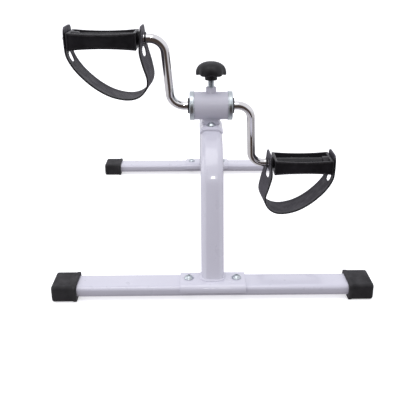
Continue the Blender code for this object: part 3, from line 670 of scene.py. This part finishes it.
def dome_bolt(name, node):
    """A dome-head screw with a cross recess; its head is the top of its CAD node's box."""
    low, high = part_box(node)
    centre = (low + high) / 2
    head = (high.x - low.x) / 2
    dome = 4.2 * MM
    ball = (head ** 2 + dome ** 2) / (2 * dome)
    spread = math.asin((head - 0.35 * MM) / ball)
    crown = arc((0, high.z - ball), ball, math.pi / 2, math.pi / 2 - spread, 12)
    seat = high.z - dome
    profile = [(abs(point.x), point.y) for point in crown]
    profile += [
        (head, seat + 0.55 * MM), (head, seat + 0.15 * MM), (head - 0.2 * MM, seat),
        (BOLT_RADIUS, seat), (BOLT_RADIUS, low.z + 0.5 * MM), (BOLT_RADIUS - 0.5 * MM, low.z),
        (0, low.z),
    ]
    place = upright(centre.x, centre.y)
    bolt = turned(name, profile, place, ZINC, 48)
    blades = []
    for turn in (20, 110):
        rings = []
        for height, length, width in ((high.z + MM, 2.6, 0.75), (high.z - 2.2 * MM, 1.1, 0.45)):
            outline = rounded_rectangle(2 * length * MM, 2 * width * MM, 0.3 * MM, 2)
            rings.append([
                place @ Matrix.Rotation(math.radians(turn), 4, "Z") @ Vector((*point, height))
                for point in outline
            ])
        blades.append(skin("blade", rings))
    return cut(bolt, *blades)


def hex_ring(flats, limit, steps):
    """Points of a hexagon, none further out than a limit."""
    points = []
    for i in range(steps):
        angle = 2 * math.pi * i / steps
        facet = (angle + math.pi / 6) % (math.pi / 3) - math.pi / 6
        radius = min(flats / 2 / math.cos(facet), limit)
        points.append(Vector((radius * math.cos(angle), radius * math.sin(angle))))
    return points


def hex_nut(name, flats, hole, low, high, centre, finish, seat=None):
    """A nut with chamfered corners; seat gives the height of its underside at each y."""
    steps = 72
    edge = flats / math.sqrt(3)
    slope = math.tan(math.radians(30))
    outer = []
    for step in range(4):
        limit = flats * 0.475 + (edge - flats * 0.475) * step / 3
        drop = (limit - flats * 0.475) * slope
        outer.append([(point, high - drop) for point in hex_ring(flats, limit, steps)])
    foot_limit = edge if seat else flats * 0.49
    if not seat:
        rise = (edge - foot_limit) * slope
        outer.append([(point, low + rise) for point in hex_ring(flats, edge, steps)])
    outer.append([(point, low) for point in hex_ring(flats, foot_limit, steps)])
    bore = [Vector((math.cos(2 * math.pi * i / steps), math.sin(2 * math.pi * i / steps)))
            for i in range(steps)]
    outer.append([(point * hole, low) for point in bore])
    outer.append([(point * hole, high - 0.5 * MM) for point in bore])
    outer.append([(point * (hole + 0.5 * MM), high) for point in bore])
    rings = []
    for ring in outer:
        rings.append([
            Vector((centre.x + point.x, centre.y + point.y,
                    seat(point.y) if seat and height == low else height))
            for point, height in ring
        ])
    return skin(name, rings, finish, closed=True, sharp=25)


def base():
    for end in ENDS:
        stabiliser(end)
        saddle_plate(end)
        for side, sign in SIDES:
            foot(end, side, sign)
            bolt = f"{end}_{side}_bolt"
            settle(dome_bolt(f"{end}_{side}_screw", bolt), "frame", "zinc", bolt)
            nut = f"{end}_{side}_nut"
            low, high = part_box(nut)
            settle(hex_nut(f"{end}_{side}_hex_nut", BOLT_NUT_FLATS, BOLT_HOLE,
                           low.z, high.z, (low + high) / 2, ZINC), "frame", "zinc", nut)


# Column and hub bracket

def weld(name, path, radius):
    """A painted weld bead: a closed bar with the soft steps of laid metal."""
    length = sum((b - a).length for a, b in zip(path, path[1:] + path[:1]))
    steps = round(length / (2.6 * MM))

    def size(i):
        wave = 0.5 - 0.5 * math.cos(2 * math.pi * steps * i / len(path))
        return radius * (0.90 + 0.12 * wave)

    bead = pipe(name, path, size, Vector((0, 0, 1)), PAINT, 12, closed=True)
    return settle(bead, "frame", "frame_paint")


def resampled(path, spacing):
    """Points at an even spacing along a closed path."""
    result = []
    for a, b in zip(path, path[1:] + path[:1]):
        steps = max(1, round((b - a).length / spacing))
        result += [a.lerp(b, i / steps) for i in range(steps)]
    return result


def column():
    node = "column_tube"
    low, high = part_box(node)
    width = high.x - low.x
    middle = high.z - COLUMN_DEPTH / 2
    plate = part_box("front_saddle_plate")[1].z
    front_y = centre_of("front_stabiliser_tube")[0].y + LEG_INSET
    rear_y = centre_of("rear_stabiliser_tube")[0].y - LEG_INSET
    rise = middle - plate
    corners = (
        (front_y, plate), (front_y + rise * math.tan(FRONT_LEAN), middle),
        (rear_y - rise / math.tan(REAR_SLOPE), middle), (rear_y, plate),
    )
    path = even(filleted(corners, (FRONT_BEND, REAR_BEND), 28), 8 * MM)
    tangents = [(b - a).normalized() for a, b in zip(path[:1] + path, path[1:] + path[-1:])]

    def ring(i, outline, end):
        """The section at a path point; the first and last follow the saddle plate."""
        tangent = tangents[i]
        normal = Vector((-tangent.y, tangent.x))
        points = []
        for x, depth in outline:
            spot = path[i] + normal * depth
            if end:
                near, far = -30 * MM, 30 * MM
                for _ in range(30):
                    slide = (near + far) / 2
                    tried = spot + tangent * slide
                    seat = max(saddle_top(end, tried.x), plate - COPE_DROP)
                    above = tried.y > seat + GAP
                    if above == (end == "front"):
                        far = slide
                    else:
                        near = slide
                spot = spot + tangent * near
            points.append(Vector((x, spot.x, spot.y)))
        return points

    outer = rounded_rectangle(width, COLUMN_DEPTH, COLUMN_CORNER, 10)
    inner = rounded_rectangle(width - 2 * COLUMN_WALL, COLUMN_DEPTH - 2 * COLUMN_WALL,
                              COLUMN_CORNER - COLUMN_WALL, 10)
    last = len(path) - 1
    stops = [(0, "front")] + [(i, None) for i in range(1, last)] + [(last, "rear")]
    rings = [ring(i, outer, end) for i, end in stops]
    feet = (rings[0], rings[-1])
    rings += [ring(i, inner, end) for i, end in reversed(stops)]
    tube = skin("column", rings, PAINT, closed=True)
    drills = []
    for end in ENDS:
        bolt = centre_of(f"hub_{end}_bolt")[0]
        drills.append(drill(BOLT_HOLE, middle, 2 * middle, upright(0, bolt.y)))
    settle(cut(tube, *drills), "frame", "frame_paint", node)
    for end, outline in zip(ENDS, feet):
        weld(f"{end}_column_weld", resampled(outline, 0.65 * MM), COLUMN_WELD)


def bend_drop(y):
    """How far the column's upper side has bent down at y, in front of its level top."""
    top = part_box("column_tube")[1].z
    rise = top - COLUMN_DEPTH / 2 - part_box("front_saddle_plate")[1].z
    foot_y = centre_of("front_stabiliser_tube")[0].y + LEG_INSET
    start = foot_y + rise * math.tan(FRONT_LEAN)
    start += FRONT_BEND * math.tan((math.pi / 2 - FRONT_LEAN) / 2)
    radius = FRONT_BEND + COLUMN_DEPTH / 2
    return radius - math.sqrt(radius ** 2 - max(0.0, start - y) ** 2)


def hub_bracket():
    """A saddle over the column whose front lip is pressed down on to the bend."""
    node = "hub_bracket"
    low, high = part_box(node)
    column_low, column_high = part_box("column_tube")
    flat = (column_high.x - column_low.x) / 2 - COLUMN_CORNER
    inner = COLUMN_CORNER + GAP
    outer = inner + BRACKET_THICKNESS
    level = high.z - outer
    top = math.pi / 2
    outline = (
        arc((flat, level), outer, top - BRACKET_WRAP, top, 12)
        + arc((-flat, level), outer, top, top + BRACKET_WRAP, 12)
        + arc((-flat, level), inner, top + BRACKET_WRAP, top, 12)
        + arc((flat, level), inner, top, top - BRACKET_WRAP, 12)
    )
    rings = []
    for y in spaced(low.y, high.y, 1.5 * MM):
        share = min(1.0, max(0.0, (low.y + BRACKET_LIP - y) / BRACKET_LIP))
        drop = bend_drop(y) * share * share * (3 - 2 * share)
        rings.append([Vector((point.x, y, point.y - drop)) for point in outline])
    bracket = skin("bracket", rings, PAINT)
    drills = []
    for end in ENDS:
        bolt = f"hub_{end}_bolt"
        centre = centre_of(bolt)[0]
        drills.append(drill(BOLT_HOLE, level, 2 * level, upright(0, centre.y)))
        settle(dome_bolt(f"hub_{end}_screw", bolt), "frame", "zinc", bolt)
    bevel(cut(bracket, *drills), 0.6 * MM)
    settle(bracket, "frame", "frame_paint", node)


def hub_cradle():
    """The pad between bracket and barrel, with a weld bead above and below."""
    node = "hub_cradle"
    centre, size = centre_of(node)
    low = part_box(node)[0].z
    barrel = centre_of("hub_barrel")[1].z / 2 + GAP

    def ring(grow, height):
        outline = rounded_rectangle(size.x + 2 * grow, size.y + 2 * grow, 2 * MM, 6)
        points = []
        for point in outline:
            z = height if height else HUB.z - math.sqrt(barrel ** 2 - point.y ** 2)
            points.append(Vector((point.x, HUB.y + point.y, z)))
        return points

    rings = [ring(CRADLE_FLARE, low), ring(0, low + 2 * MM), ring(0, None)]
    settle(skin("cradle", rings, PAINT), "frame", "frame_paint", node)
    weld("cradle_lower_weld", resampled(ring(CRADLE_FLARE, low + 0.5 * MM), 0.5 * MM), 0.9 * MM)
    weld("cradle_upper_weld", resampled(ring(0.3 * MM, None), 0.5 * MM), 0.9 * MM)


# Hub

def hub_barrel():
    node = "hub_barrel"
    centre, size = centre_of(node)
    radius = size.z / 2
    half = size.x / 2
    edge = 0.4 * MM
    profile = [(BARREL_BORE, half), (radius - edge, half)]
    profile += [(radius, x) for x in reversed(spaced(edge - half, half - edge, 5 * MM))]
    profile += [(radius - edge, -half), (BARREL_BORE, -half)]
    barrel = turned("barrel", profile, along_x(1, HUB), SHADED_BARREL_PAINT, 96, closed=True)
    hole = drill(STUD_HOLE, HUB.z, HUB.z + 2 * radius, upright(0, HUB.y))
    settle(cut(barrel, hole), "frame", "frame_paint", node)


def bearing(side, sign):
    cup_centre, cup_size = centre_of(f"{side}_bearing_cup")
    face = abs(cup_centre.x) + cup_size.x / 2
    rim = abs(cup_centre.x) - cup_size.x / 2
    radius = cup_size.z / 2
    lip = centre_of("hub_barrel")[1].z / 2 + GAP
    cup = soften((
        (CUP_HOLE, face - 0.5 * MM), (11.4 * MM, face - 0.5 * MM), (12.2 * MM, face),
        (radius - 0.3 * MM, face), (radius - 0.3 * MM, rim + 1.2 * MM), (radius, rim + 0.8 * MM),
        (radius, rim), (lip, rim), (lip, face - CUP_SHEET - 0.5 * MM),
        (CUP_HOLE, face - CUP_SHEET - 0.5 * MM),
    ), 1.1 * MM, 4, closed=True)
    settle(turned(f"{side}_cup", cup, along_x(sign, HUB), ZINC, 96, closed=True),
           "frame", "zinc", f"{side}_bearing_cup")
    bush_centre, bush_size = centre_of(f"{side}_bush")
    outer = abs(bush_centre.x) + bush_size.x / 2
    inner = abs(bush_centre.x) - bush_size.x / 2
    flange = bush_size.z / 2
    bush = soften((
        (ROD_BORE, outer - 0.3 * MM), (ROD_BORE + 0.6 * MM, outer), (flange, outer),
        (flange, face + GAP / 2), (BUSH_RADIUS, face + GAP / 2), (BUSH_RADIUS, inner),
        (ROD_BORE, inner),
    ), 0.6 * MM, 4, closed=True)
    settle(turned(f"{side}_flange_bush", bush, along_x(sign, HUB), PEDAL_PLASTIC, closed=True),
           "frame", "black_plastic", f"{side}_bush")


def tension_nut():
    low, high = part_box("tension_nut")
    barrel = centre_of("hub_barrel")[1].z / 2 + GAP / 2

    def seat(y):
        return HUB.z + math.sqrt(barrel ** 2 - y ** 2)

    nut = hex_nut("stud_nut", NUT_FLATS, STUD_HOLE, low.z, high.z,
                  Vector((0, HUB.y, 0)), SHADED_BARREL_PAINT, seat)
    settle(nut, "frame", "frame_paint", "tension_nut")


# Tension screw

def tension_stud():
    """The threaded stud, its thread cut as one running groove."""
    low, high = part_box("tension_stud")
    samples = 8
    count = round((high.z - low.z) / THREAD_PITCH * samples)
    heights = [low.z + (high.z - low.z) * i / count for i in range(count + 1)]

    def thread(radius, height, angle):
        if radius == 0:
            return radius, height
        turn = (height / THREAD_PITCH - angle / (2 * math.pi)) % 1
        groove = 1 - abs(2 * turn - 1)
        taper = min(1.0, (height - low.z) / MM + 0.2)
        return (radius - THREAD_DEPTH * groove) * (0.75 + 0.25 * taper), height

    profile = [(0, high.z)] + [(STUD_RADIUS, z) for z in reversed(heights)] + [(0, low.z)]
    place = upright(0, HUB.y)
    stud = turned("threaded_stud", profile, place, ZINC, 32, shape=thread)
    settle(stud, "tension_knob", "zinc", "tension_stud")


def tension_knob():
    """A lobed mushroom: the skirt hangs lower on the lobes and rises between them."""
    low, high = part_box("tension_knob")
    radius = (high.x - low.x) / 2
    skirt = low.z + KNOB_SKIRT_RISE
    height = high.z - skirt
    profile = [
        (radius * math.sin(math.radians(a)) ** 0.9,
         skirt + height * math.cos(math.radians(a)) ** 0.72)
        for a in range(0, 88, 4)
    ]
    profile += [
        (radius * 0.995, skirt + 0.9 * MM), (radius * 0.97, skirt + 0.2 * MM),
        (radius * 0.93, skirt), (radius * 0.87, skirt + 0.5 * MM),
        (radius * 0.78, skirt + 1.6 * MM), (radius * 0.62, skirt + 1.9 * MM),
        (KNOB_BOSS + 1.6 * MM, skirt + 1.2 * MM), (KNOB_BOSS + 0.4 * MM, skirt),
        (KNOB_BOSS, skirt - 1.2 * MM), (KNOB_BOSS, low.z + 0.8 * MM),
        (KNOB_BOSS - 0.3 * MM, low.z + 0.2 * MM), (KNOB_BOSS - 0.9 * MM, low.z),
        (STUD_HOLE, low.z), (STUD_HOLE, low.z + KNOB_BORE), (0, low.z + KNOB_BORE),
    ]

    def lobes(r, z, angle):
        if r <= KNOB_BOSS + 0.4 * MM:
            return r, z
        rim = (r - KNOB_BOSS) / (radius - KNOB_BOSS)
        dip = (0.5 - 0.5 * math.cos(KNOB_LOBES * angle)) ** 1.6
        low_down = max(0.0, 1 - (z - skirt) / height)
        pull = KNOB_LOBE_DEPTH * rim ** 1.5 * dip * (0.35 + 0.65 * low_down)
        lift = KNOB_NOTCH_LIFT * rim * dip * low_down ** 2
        return r * (1 - pull), z + lift

    knob = turned("knob", profile, upright(0, HUB.y), KNOB_PLASTIC, 144, shape=lobes)
    settle(knob, "tension_knob", "black_plastic", "tension_knob")


# Crank and pedals

PEDAL_DEPTH, PEDAL_HEIGHT = centre_of("left_pedal")[1].yz


def crank():
    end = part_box("crank")[1].x
    arm = SPINDLES["left"] - HUB
    throw = math.hypot(arm.y, arm.z)
    corners = (
        (-end, throw), (-ARM_AT_PEDAL, throw), (-ARM_AT_HUB, 0),
        (ARM_AT_HUB, 0), (ARM_AT_PEDAL, -throw), (end, -throw),
    )
    flat = filleted(corners, ROD_BEND, 28)
    chamfer = 0.8 * MM
    flat = [flat[0], flat[0] + Vector((chamfer, 0))] + flat[1:-1]
    flat += [Vector((end - chamfer, -throw)), Vector((end, -throw))]
    turn = Matrix.Rotation(CRANK_ANGLE, 4, "X")
    path = [HUB + turn @ Vector((point.x, 0, point.y)) for point in flat]
    last = len(path) - 1
    rod = pipe("crank_rod", path, lambda i: ROD_RADIUS - (chamfer if i in (0, last) else 0),
               turn @ Vector((0, 1, 0)), CHROME, 48)
    settle(rod, "crank", "chrome", "crank")


def pedal_section(half_height, tray, bump_at, tube):
    """Half of a pedal's cross section, from its front wall to its back wall.

    Points are (y, z) above the pedal's middle. tray is the share by which the tray is filled,
    bump_at the height of the spindle tube's axis and tube the tube's radius.
    """
    half = PEDAL_DEPTH / 2
    edge = PEDAL_EDGE
    wall = half - PEDAL_WALL
    lip = 0.8 * MM
    side = arc((half - edge, half_height - edge), edge, 0, math.pi / 2, 4)
    side += arc((wall + lip, half_height - lip), lip, math.pi / 2, math.pi, 3)
    floor = [Vector((wall, PEDAL_WEB + 1.2 * MM)), Vector((wall - 0.4 * MM, PEDAL_WEB + 0.35 * MM)),
             Vector((wall - 1.3 * MM, PEDAL_WEB))]
    low = PEDAL_WEB - bump_at
    start = math.asin(low / tube)
    hump = arc((0, bump_at), tube, start, math.pi / 2, 7)
    fill = PEDAL_WEB + (half_height - PEDAL_WEB) * tray
    inside = [Vector((point.x, min(max(point.y, fill), half_height))) for point in floor + hump]
    quarter = side + inside
    return quarter + [Vector((-point.x, point.y)) for point in reversed(quarter[:-1])]


def pedal_stations(length):
    """Stations along a pedal: distance outwards, how full the trays are, inset of the ends."""
    end = []
    for step in range(5):
        turn = step / 4 * math.pi / 2
        end.append((PEDAL_EDGE * (1 - math.cos(turn)), 1.0, PEDAL_EDGE * (1 - math.sin(turn))))
    for further, fill in ((-0.9, 1.0), (-0.25, 0.965), (0, 0.88), (0.3, 0.05), (1.1, 0.0)):
        end.append((PEDAL_END_WALL + further * MM, fill, 0))
    bay = (length - 2 * PEDAL_END_WALL) / (PEDAL_RIBS + 1)
    ribs = [PEDAL_END_WALL + bay * (number + 1) for number in range(PEDAL_RIBS)]
    cup_at = COUNTERBORE_START - 1.5 * MM - PEDAL_INNER
    plain = [length * share / 12 for share in range(1, 12)] + [cup_at - 0.4 * MM, cup_at + 0.4 * MM]
    between = [(distance, 0.0, 0) for distance in plain
               if all(abs(distance - at) > PEDAL_RIB + 0.4 * MM for at in ribs)]
    for at in ribs:
        for further, fill in ((0.5, 0.0), (0, 0.2), (-0.2, 0.9), (-0.6, 1.0)):
            for way in (-1, 1):
                distance = at + way * (PEDAL_RIB + further * MM)
                between.append((distance, PEDAL_RIB_HEIGHT * fill, 0))
    return end + sorted(between) + [(length - d, fill, inset) for d, fill, inset in reversed(end)]


def pedal(side, sign):
    """A waisted block with a ribbed tray above and below, and the boss on its inner end."""
    node = f"{side}_pedal"
    spindle = SPINDLES[side]
    centre = Vector((0, spindle.y, spindle.z - PEDAL_DROP))
    length = PEDAL_OUTER - PEDAL_INNER
    middle = (PEDAL_OUTER + PEDAL_INNER) / 2
    dip = (PEDAL_HEIGHT - PEDAL_WAIST) / 2
    sweep = (length ** 2 / 4 + dip ** 2) / (2 * dip)

    def half_height(x):
        return PEDAL_WAIST / 2 + sweep - math.sqrt(sweep ** 2 - (x - middle) ** 2)

    rings = []
    for distance, fill, inset in pedal_stations(length):
        x = PEDAL_INNER + distance
        height = half_height(x)
        tube = PEDAL_CUP if x > COUNTERBORE_START - 1.5 * MM else PEDAL_TUBE
        upper = pedal_section(height, fill, PEDAL_DROP, tube)
        lower = pedal_section(height, fill, -PEDAL_DROP, tube)
        outline = upper + [Vector((-point.x, -point.y)) for point in lower]
        limit_y = PEDAL_DEPTH / 2 - inset
        limit_z = height - inset
        rings.append([
            Vector((sign * x, centre.y + max(-limit_y, min(limit_y, point.x)),
                    centre.z + max(-limit_z, min(limit_z, point.y))))
            for point in outline
        ])
    body = skin(f"{side}_pedal_body", rings, PEDAL_PLASTIC, sharp=45)

    cutters = []
    panel_half = length / 2 - PEDAL_PANEL_BORDER
    for face in (-1, 1):
        y = centre.y + face * (PEDAL_DEPTH / 2 - PEDAL_PANEL)
        rows = []
        for step in range(13):
            x = middle + panel_half * (step / 6 - 1)
            reach = half_height(x) - PEDAL_PANEL_BORDER
            rows.append([
                Vector((sign * x, y + face * out * 2 * MM, centre.z + up * reach))
                for out, up in ((0, -1), (0, 1), (1, 1), (1, -1))
            ])
        cutters.append(skin("panel", rows))
    axis = along_x(sign, spindle)
    cutters.append(drill(ROD_BORE, PEDAL_INNER - MM, COUNTERBORE_START + MM, axis, 48))
    cutters.append(drill(COUNTERBORE, COUNTERBORE_START, PEDAL_OUTER + MM, axis, 48))
    cut(body, *cutters, sharp=45)
    settle(body, f"{side}_pedal", "black_plastic", node)

    boss_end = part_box(node)[0 if sign > 0 else 1].x * sign
    boss = soften((
        (ROD_BORE, boss_end), (BOSS_RADIUS, boss_end), (BOSS_RADIUS, boss_end + 2.2 * MM),
        (BOSS_RADIUS + 1.4 * MM, PEDAL_INNER + 0.1 * MM), (ROD_BORE, PEDAL_INNER + 0.1 * MM),
    ), 0.7 * MM, 3, closed=True)
    settle(turned(f"{side}_pedal_boss", boss, axis, PEDAL_PLASTIC, 48, closed=True),
           f"{side}_pedal", "black_plastic")


def spindle_fittings(side, sign):
    spindle = SPINDLES[side]
    axis = along_x(sign, spindle)
    low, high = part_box(f"{side}_spindle_collar")
    near, far = sorted((abs(low.x), abs(high.x)))
    collar_radius = (high.z - low.z) / 2
    collar = soften((
        (ROD_BORE, far), (collar_radius, far), (collar_radius, near), (ROD_BORE, near),
    ), 0.7 * MM, 4, closed=True)
    settle(turned(f"{side}_collar", collar, axis, PEDAL_PLASTIC, 48, closed=True),
           "crank", "black_plastic", f"{side}_spindle_collar")
    low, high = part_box(f"{side}_end_plug")
    inner, outer = sorted((abs(low.x), abs(high.x)))
    plug = [(0, outer)] + [
        (PEG_HEAD * math.sin(math.radians(a)), outer - 2 * MM * (1 - math.cos(math.radians(a))))
        for a in range(15, 91, 15)
    ] + [
        (PEG_HEAD, PEG_HEAD_START + 0.3 * MM), (PEG_HEAD - 0.3 * MM, PEG_HEAD_START),
        (PEG_RADIUS, PEG_HEAD_START), (PEG_RADIUS, PEDAL_OUTER),
        (PLUG_RADIUS - 0.4 * MM, PEDAL_OUTER), (PLUG_RADIUS, PEDAL_OUTER - 0.4 * MM),
        (PLUG_RADIUS, inner), (0, inner),
    ]
    settle(turned(f"{side}_plug", plug, axis, PEDAL_PLASTIC, 48),
           f"{side}_pedal", "black_plastic", f"{side}_end_plug")


def smooth_route(points, steps):
    """Catmull-Rom points through a route, both ends included."""
    stops = [Vector(point) for point in points]
    stops = [2 * stops[0] - stops[1]] + stops + [2 * stops[-1] - stops[-2]]
    route = []
    for a, b, c, d in zip(stops, stops[1:], stops[2:], stops[3:]):
        for i in range(steps):
            t = i / steps
            route.append(0.5 * (2 * b + (c - a) * t + (2 * a - 5 * b + 4 * c - d) * t * t
                                + (3 * b - a - 3 * c + d) * t ** 3))
    route.append(stops[-2])
    return route


def strap(side, sign):
    """A ribbed band with smooth borders painted near-black as painted shade, rounded tabs, two holes
    and two slots.
    """
    node = f"{side}_strap"
    spindle = SPINDLES[side]
    route = smooth_route(STRAP_ROUTE, 16)
    run = [0.0]
    for a, b in zip(route, route[1:]):
        run.append(run[-1] + (b.xy - a.xy).length * MM)
    total = run[-1]

    def along(distance):
        """The route's point and direction at a distance from the outer end."""
        i = 0
        while i < len(run) - 2 and run[i + 1] < distance:
            i += 1
        share = (distance - run[i]) / (run[i + 1] - run[i])
        return route[i].lerp(route[i + 1], share), (route[i + 1] - route[i]).xy.normalized()

    distances = [STRAP_END_CORNER * (1 - math.cos(math.pi / 2 * k / 8)) for k in range(8)]
    pitch = RIB_PITCH / RIB_SAMPLES
    count = round((total - 2 * STRAP_END_CORNER) / pitch)
    middle = [STRAP_END_CORNER + (total - 2 * STRAP_END_CORNER) * k / count for k in range(count + 1)]
    distances = distances + middle + [total - distance for distance in reversed(distances)]

    ribbed = 1 - 2 * STRAP_BORDER / STRAP_WIDTH
    fine = ribbed - 0.02
    shares = (-1.0, -0.99, -0.97, -ribbed, -fine, -0.45, 0.0, 0.45, fine, ribbed, 0.97, 0.99, 1.0)
    edge_drop = {1.0: 0.45, 0.99: 0.85, 0.97: 1.0}
    rings = []
    for distance in distances:
        spot, direction = along(distance)
        to_end = min(distance, total - distance)
        short = max(0.0, STRAP_END_CORNER - to_end)
        inset = STRAP_END_CORNER - math.sqrt(max(0.0, STRAP_END_CORNER ** 2 - short ** 2))
        half = STRAP_WIDTH / 2 - inset
        fade = min(1.0, max(0.0, (to_end - RIB_FREE_END) / (4 * MM)))
        wave = RIB_HEIGHT * fade * (0.5 - 0.5 * math.cos(2 * math.pi * distance / RIB_PITCH))
        out = Vector((sign * direction.y, 0, -direction.x))
        ring = []
        for face, order in ((1, shares), (-1, shares[::-1])):
            for share in order:
                thick = STRAP_THICKNESS / 2 * edge_drop.get(abs(share), 1.0)
                if abs(share) <= fine:
                    thick += wave - RIB_HEIGHT * fade
                x = (spot.x - spot.z * share) * MM
                centre = Vector((sign * x, spindle.y + half * share, spindle.z + spot.y * MM))
                ring.append(centre + out * thick * face)
        rings.append(ring)
    band = skin(f"{side}_foot_strap", rings, STRAP_SHADED_EDGE)
    band.data.materials.append(STRAP_RUBBER)

    axis = along_x(sign, spindle)
    parting = (PEDAL_INNER + PEDAL_OUTER) / 2
    outermost = PEDAL_OUTER + 9 * MM
    slot = rounded_rectangle(*STRAP_SLOT, 10)
    holes = [drill(STRAP_SPINDLE_HOLE, ARM_AT_PEDAL, parting, axis, 40),
             drill(STRAP_PEG_HOLE, parting, outermost, axis, 32)]
    for reach, drop in zip(((ARM_AT_PEDAL, parting), (parting, outermost)), STRAP_SLOT_DROPS):
        centre = Vector((0, spindle.y, spindle.z - drop))
        holes.append(skin("slot", [across(slot, sign * x, centre) for x in reach]))
    cut(band, *holes)
    # Borders and edges get the near-black material as painted shade; the ribbed middle gets the strap
    # rubber
    reach = STRAP_WIDTH / 2 - STRAP_BORDER
    for polygon in band.data.polygons:
        polygon.material_index = int(abs(polygon.center.y - spindle.y) < reach)
    settle(band, f"{side}_pedal", "strap_rubber", node)


# Hidden pieces keep their CAD shapes

def finish_hidden():
    for node, material in (
        ("brake_shoe", NYLON), ("hub_front_weld_nut", ZINC), ("hub_rear_weld_nut", ZINC),
        ("left_push_nut", ZINC), ("right_push_nut", ZINC),
    ):
        obj = frame["nodes"][node]
        obj.data.materials.clear()
        obj.data.materials.append(material)


# Studio

def floor():
    """A pale sheet that only the camera sees; the sky below stands for its bounce."""
    recipe = Recipe("studio_floor", (0.92, 0.92, 0.93), 0.9)
    recipe.set("Base Color", recipe.blend(recipe.noise(0.6, 2), (0.91, 0.91, 0.92), (0.93, 0.93, 0.94)))
    recipe.set("Emission Color", (1, 1, 1, 1))
    recipe.set("Emission Strength", 0.5)
    size = 14
    mesh = bpy.data.meshes.new("studio_floor")
    work = bmesh.new()
    bmesh.ops.create_grid(work, x_segments=8, y_segments=8, size=size)
    work.to_mesh(mesh)
    work.free()
    plane = piece("studio_floor", mesh, recipe.material)
    plane.location.z = -0.05 * MM
    plane.visible_diffuse = False
    plane.visible_glossy = False


def sky():
    """A white studio, greyer below, with a dark room behind the photographer.

    The camera itself sees a plain white backdrop instead.
    """
    world = bpy.data.worlds.new("studio")
    bpy.context.scene.world = world
    world.use_nodes = True
    world.node_tree.nodes.clear()
    nodes = Nodes(world.node_tree)
    direction = nodes.add("ShaderNodeTexCoord", {}).outputs["Generated"]
    split = nodes.add("ShaderNodeSeparateXYZ", {0: direction}).outputs
    across_room = nodes.add("ShaderNodeVectorMath", {
        0: direction, 1: (1 / ROOM_HALF[0], 0, 1 / ROOM_HALF[1]),
        2: (-ROOM_MIDDLE[0] / ROOM_HALF[0], 0, -ROOM_MIDDLE[1] / ROOM_HALF[1]),
    }, operation="MULTIPLY_ADD").outputs[0]
    from_middle = nodes.add(
        "ShaderNodeVectorMath", {0: across_room}, operation="LENGTH").outputs["Value"]

    def fade(value, low, high):
        return nodes.spread(value, low, high, interpolation_type="SMOOTHSTEP")

    tone = nodes.blend(fade(split["Z"], -0.30, 0.02), TABLE_TONE, STUDIO_TONE)
    room = nodes.times(fade(from_middle, 1.18, 0.82), fade(split["Y"], -0.05, -0.25))
    tone = nodes.blend(room, tone, ROOM_TONE)
    seen = nodes.add("ShaderNodeLightPath", {}).outputs["Is Camera Ray"]
    tone = nodes.blend(seen, tone, BACKDROP_TONE)
    background = nodes.add("ShaderNodeBackground", {"Color": tone})
    nodes.add("ShaderNodeOutputWorld", {"Surface": background.outputs[0]})


def lamp(name, place, target, size, energy, colour=(1, 1, 1)):
    light = bpy.data.lights.new(name, "AREA")
    light.shape = "DISK"
    light.size = size
    light.energy = energy
    light.color = colour
    obj = bpy.data.objects.new(name, light)
    obj.location = place
    obj.rotation_euler = (Vector(target) - Vector(place)).to_track_quat("-Z", "Y").to_euler()
    bpy.context.scene.collection.objects.link(obj)


def studio():
    floor()
    sky()
    lamp("overhead", (-0.2, -0.7, 1.8), (0, 0, 0.1), 1.2, 7.0)
    lamp("side", (-1.6, -0.2, 0.9), (0, 0, 0.1), 0.8, 3.0)
    lamp("flash", (0.06, -1.5, 0.95), (0, -0.1, 0.15), 0.10, 0.9)
    scene = bpy.context.scene
    scene.view_settings.view_transform = "Standard"
    lens = bpy.data.cameras.new("camera")
    lens.lens = CAMERA_LENS
    lens.sensor_width = 36
    camera = bpy.data.objects.new("camera", lens)
    camera.location = CAMERA_PLACE
    camera.rotation_euler = CAMERA_TURN
    scene.collection.objects.link(camera)
    scene.camera = camera


base()
column()
hub_bracket()
hub_cradle()
hub_barrel()
tension_nut()
tension_stud()
tension_knob()
crank()
for side_name, side_sign in SIDES:
    bearing(side_name, side_sign)
    pedal(side_name, side_sign)
    spindle_fittings(side_name, side_sign)
    strap(side_name, side_sign)
finish_hidden()
studio()
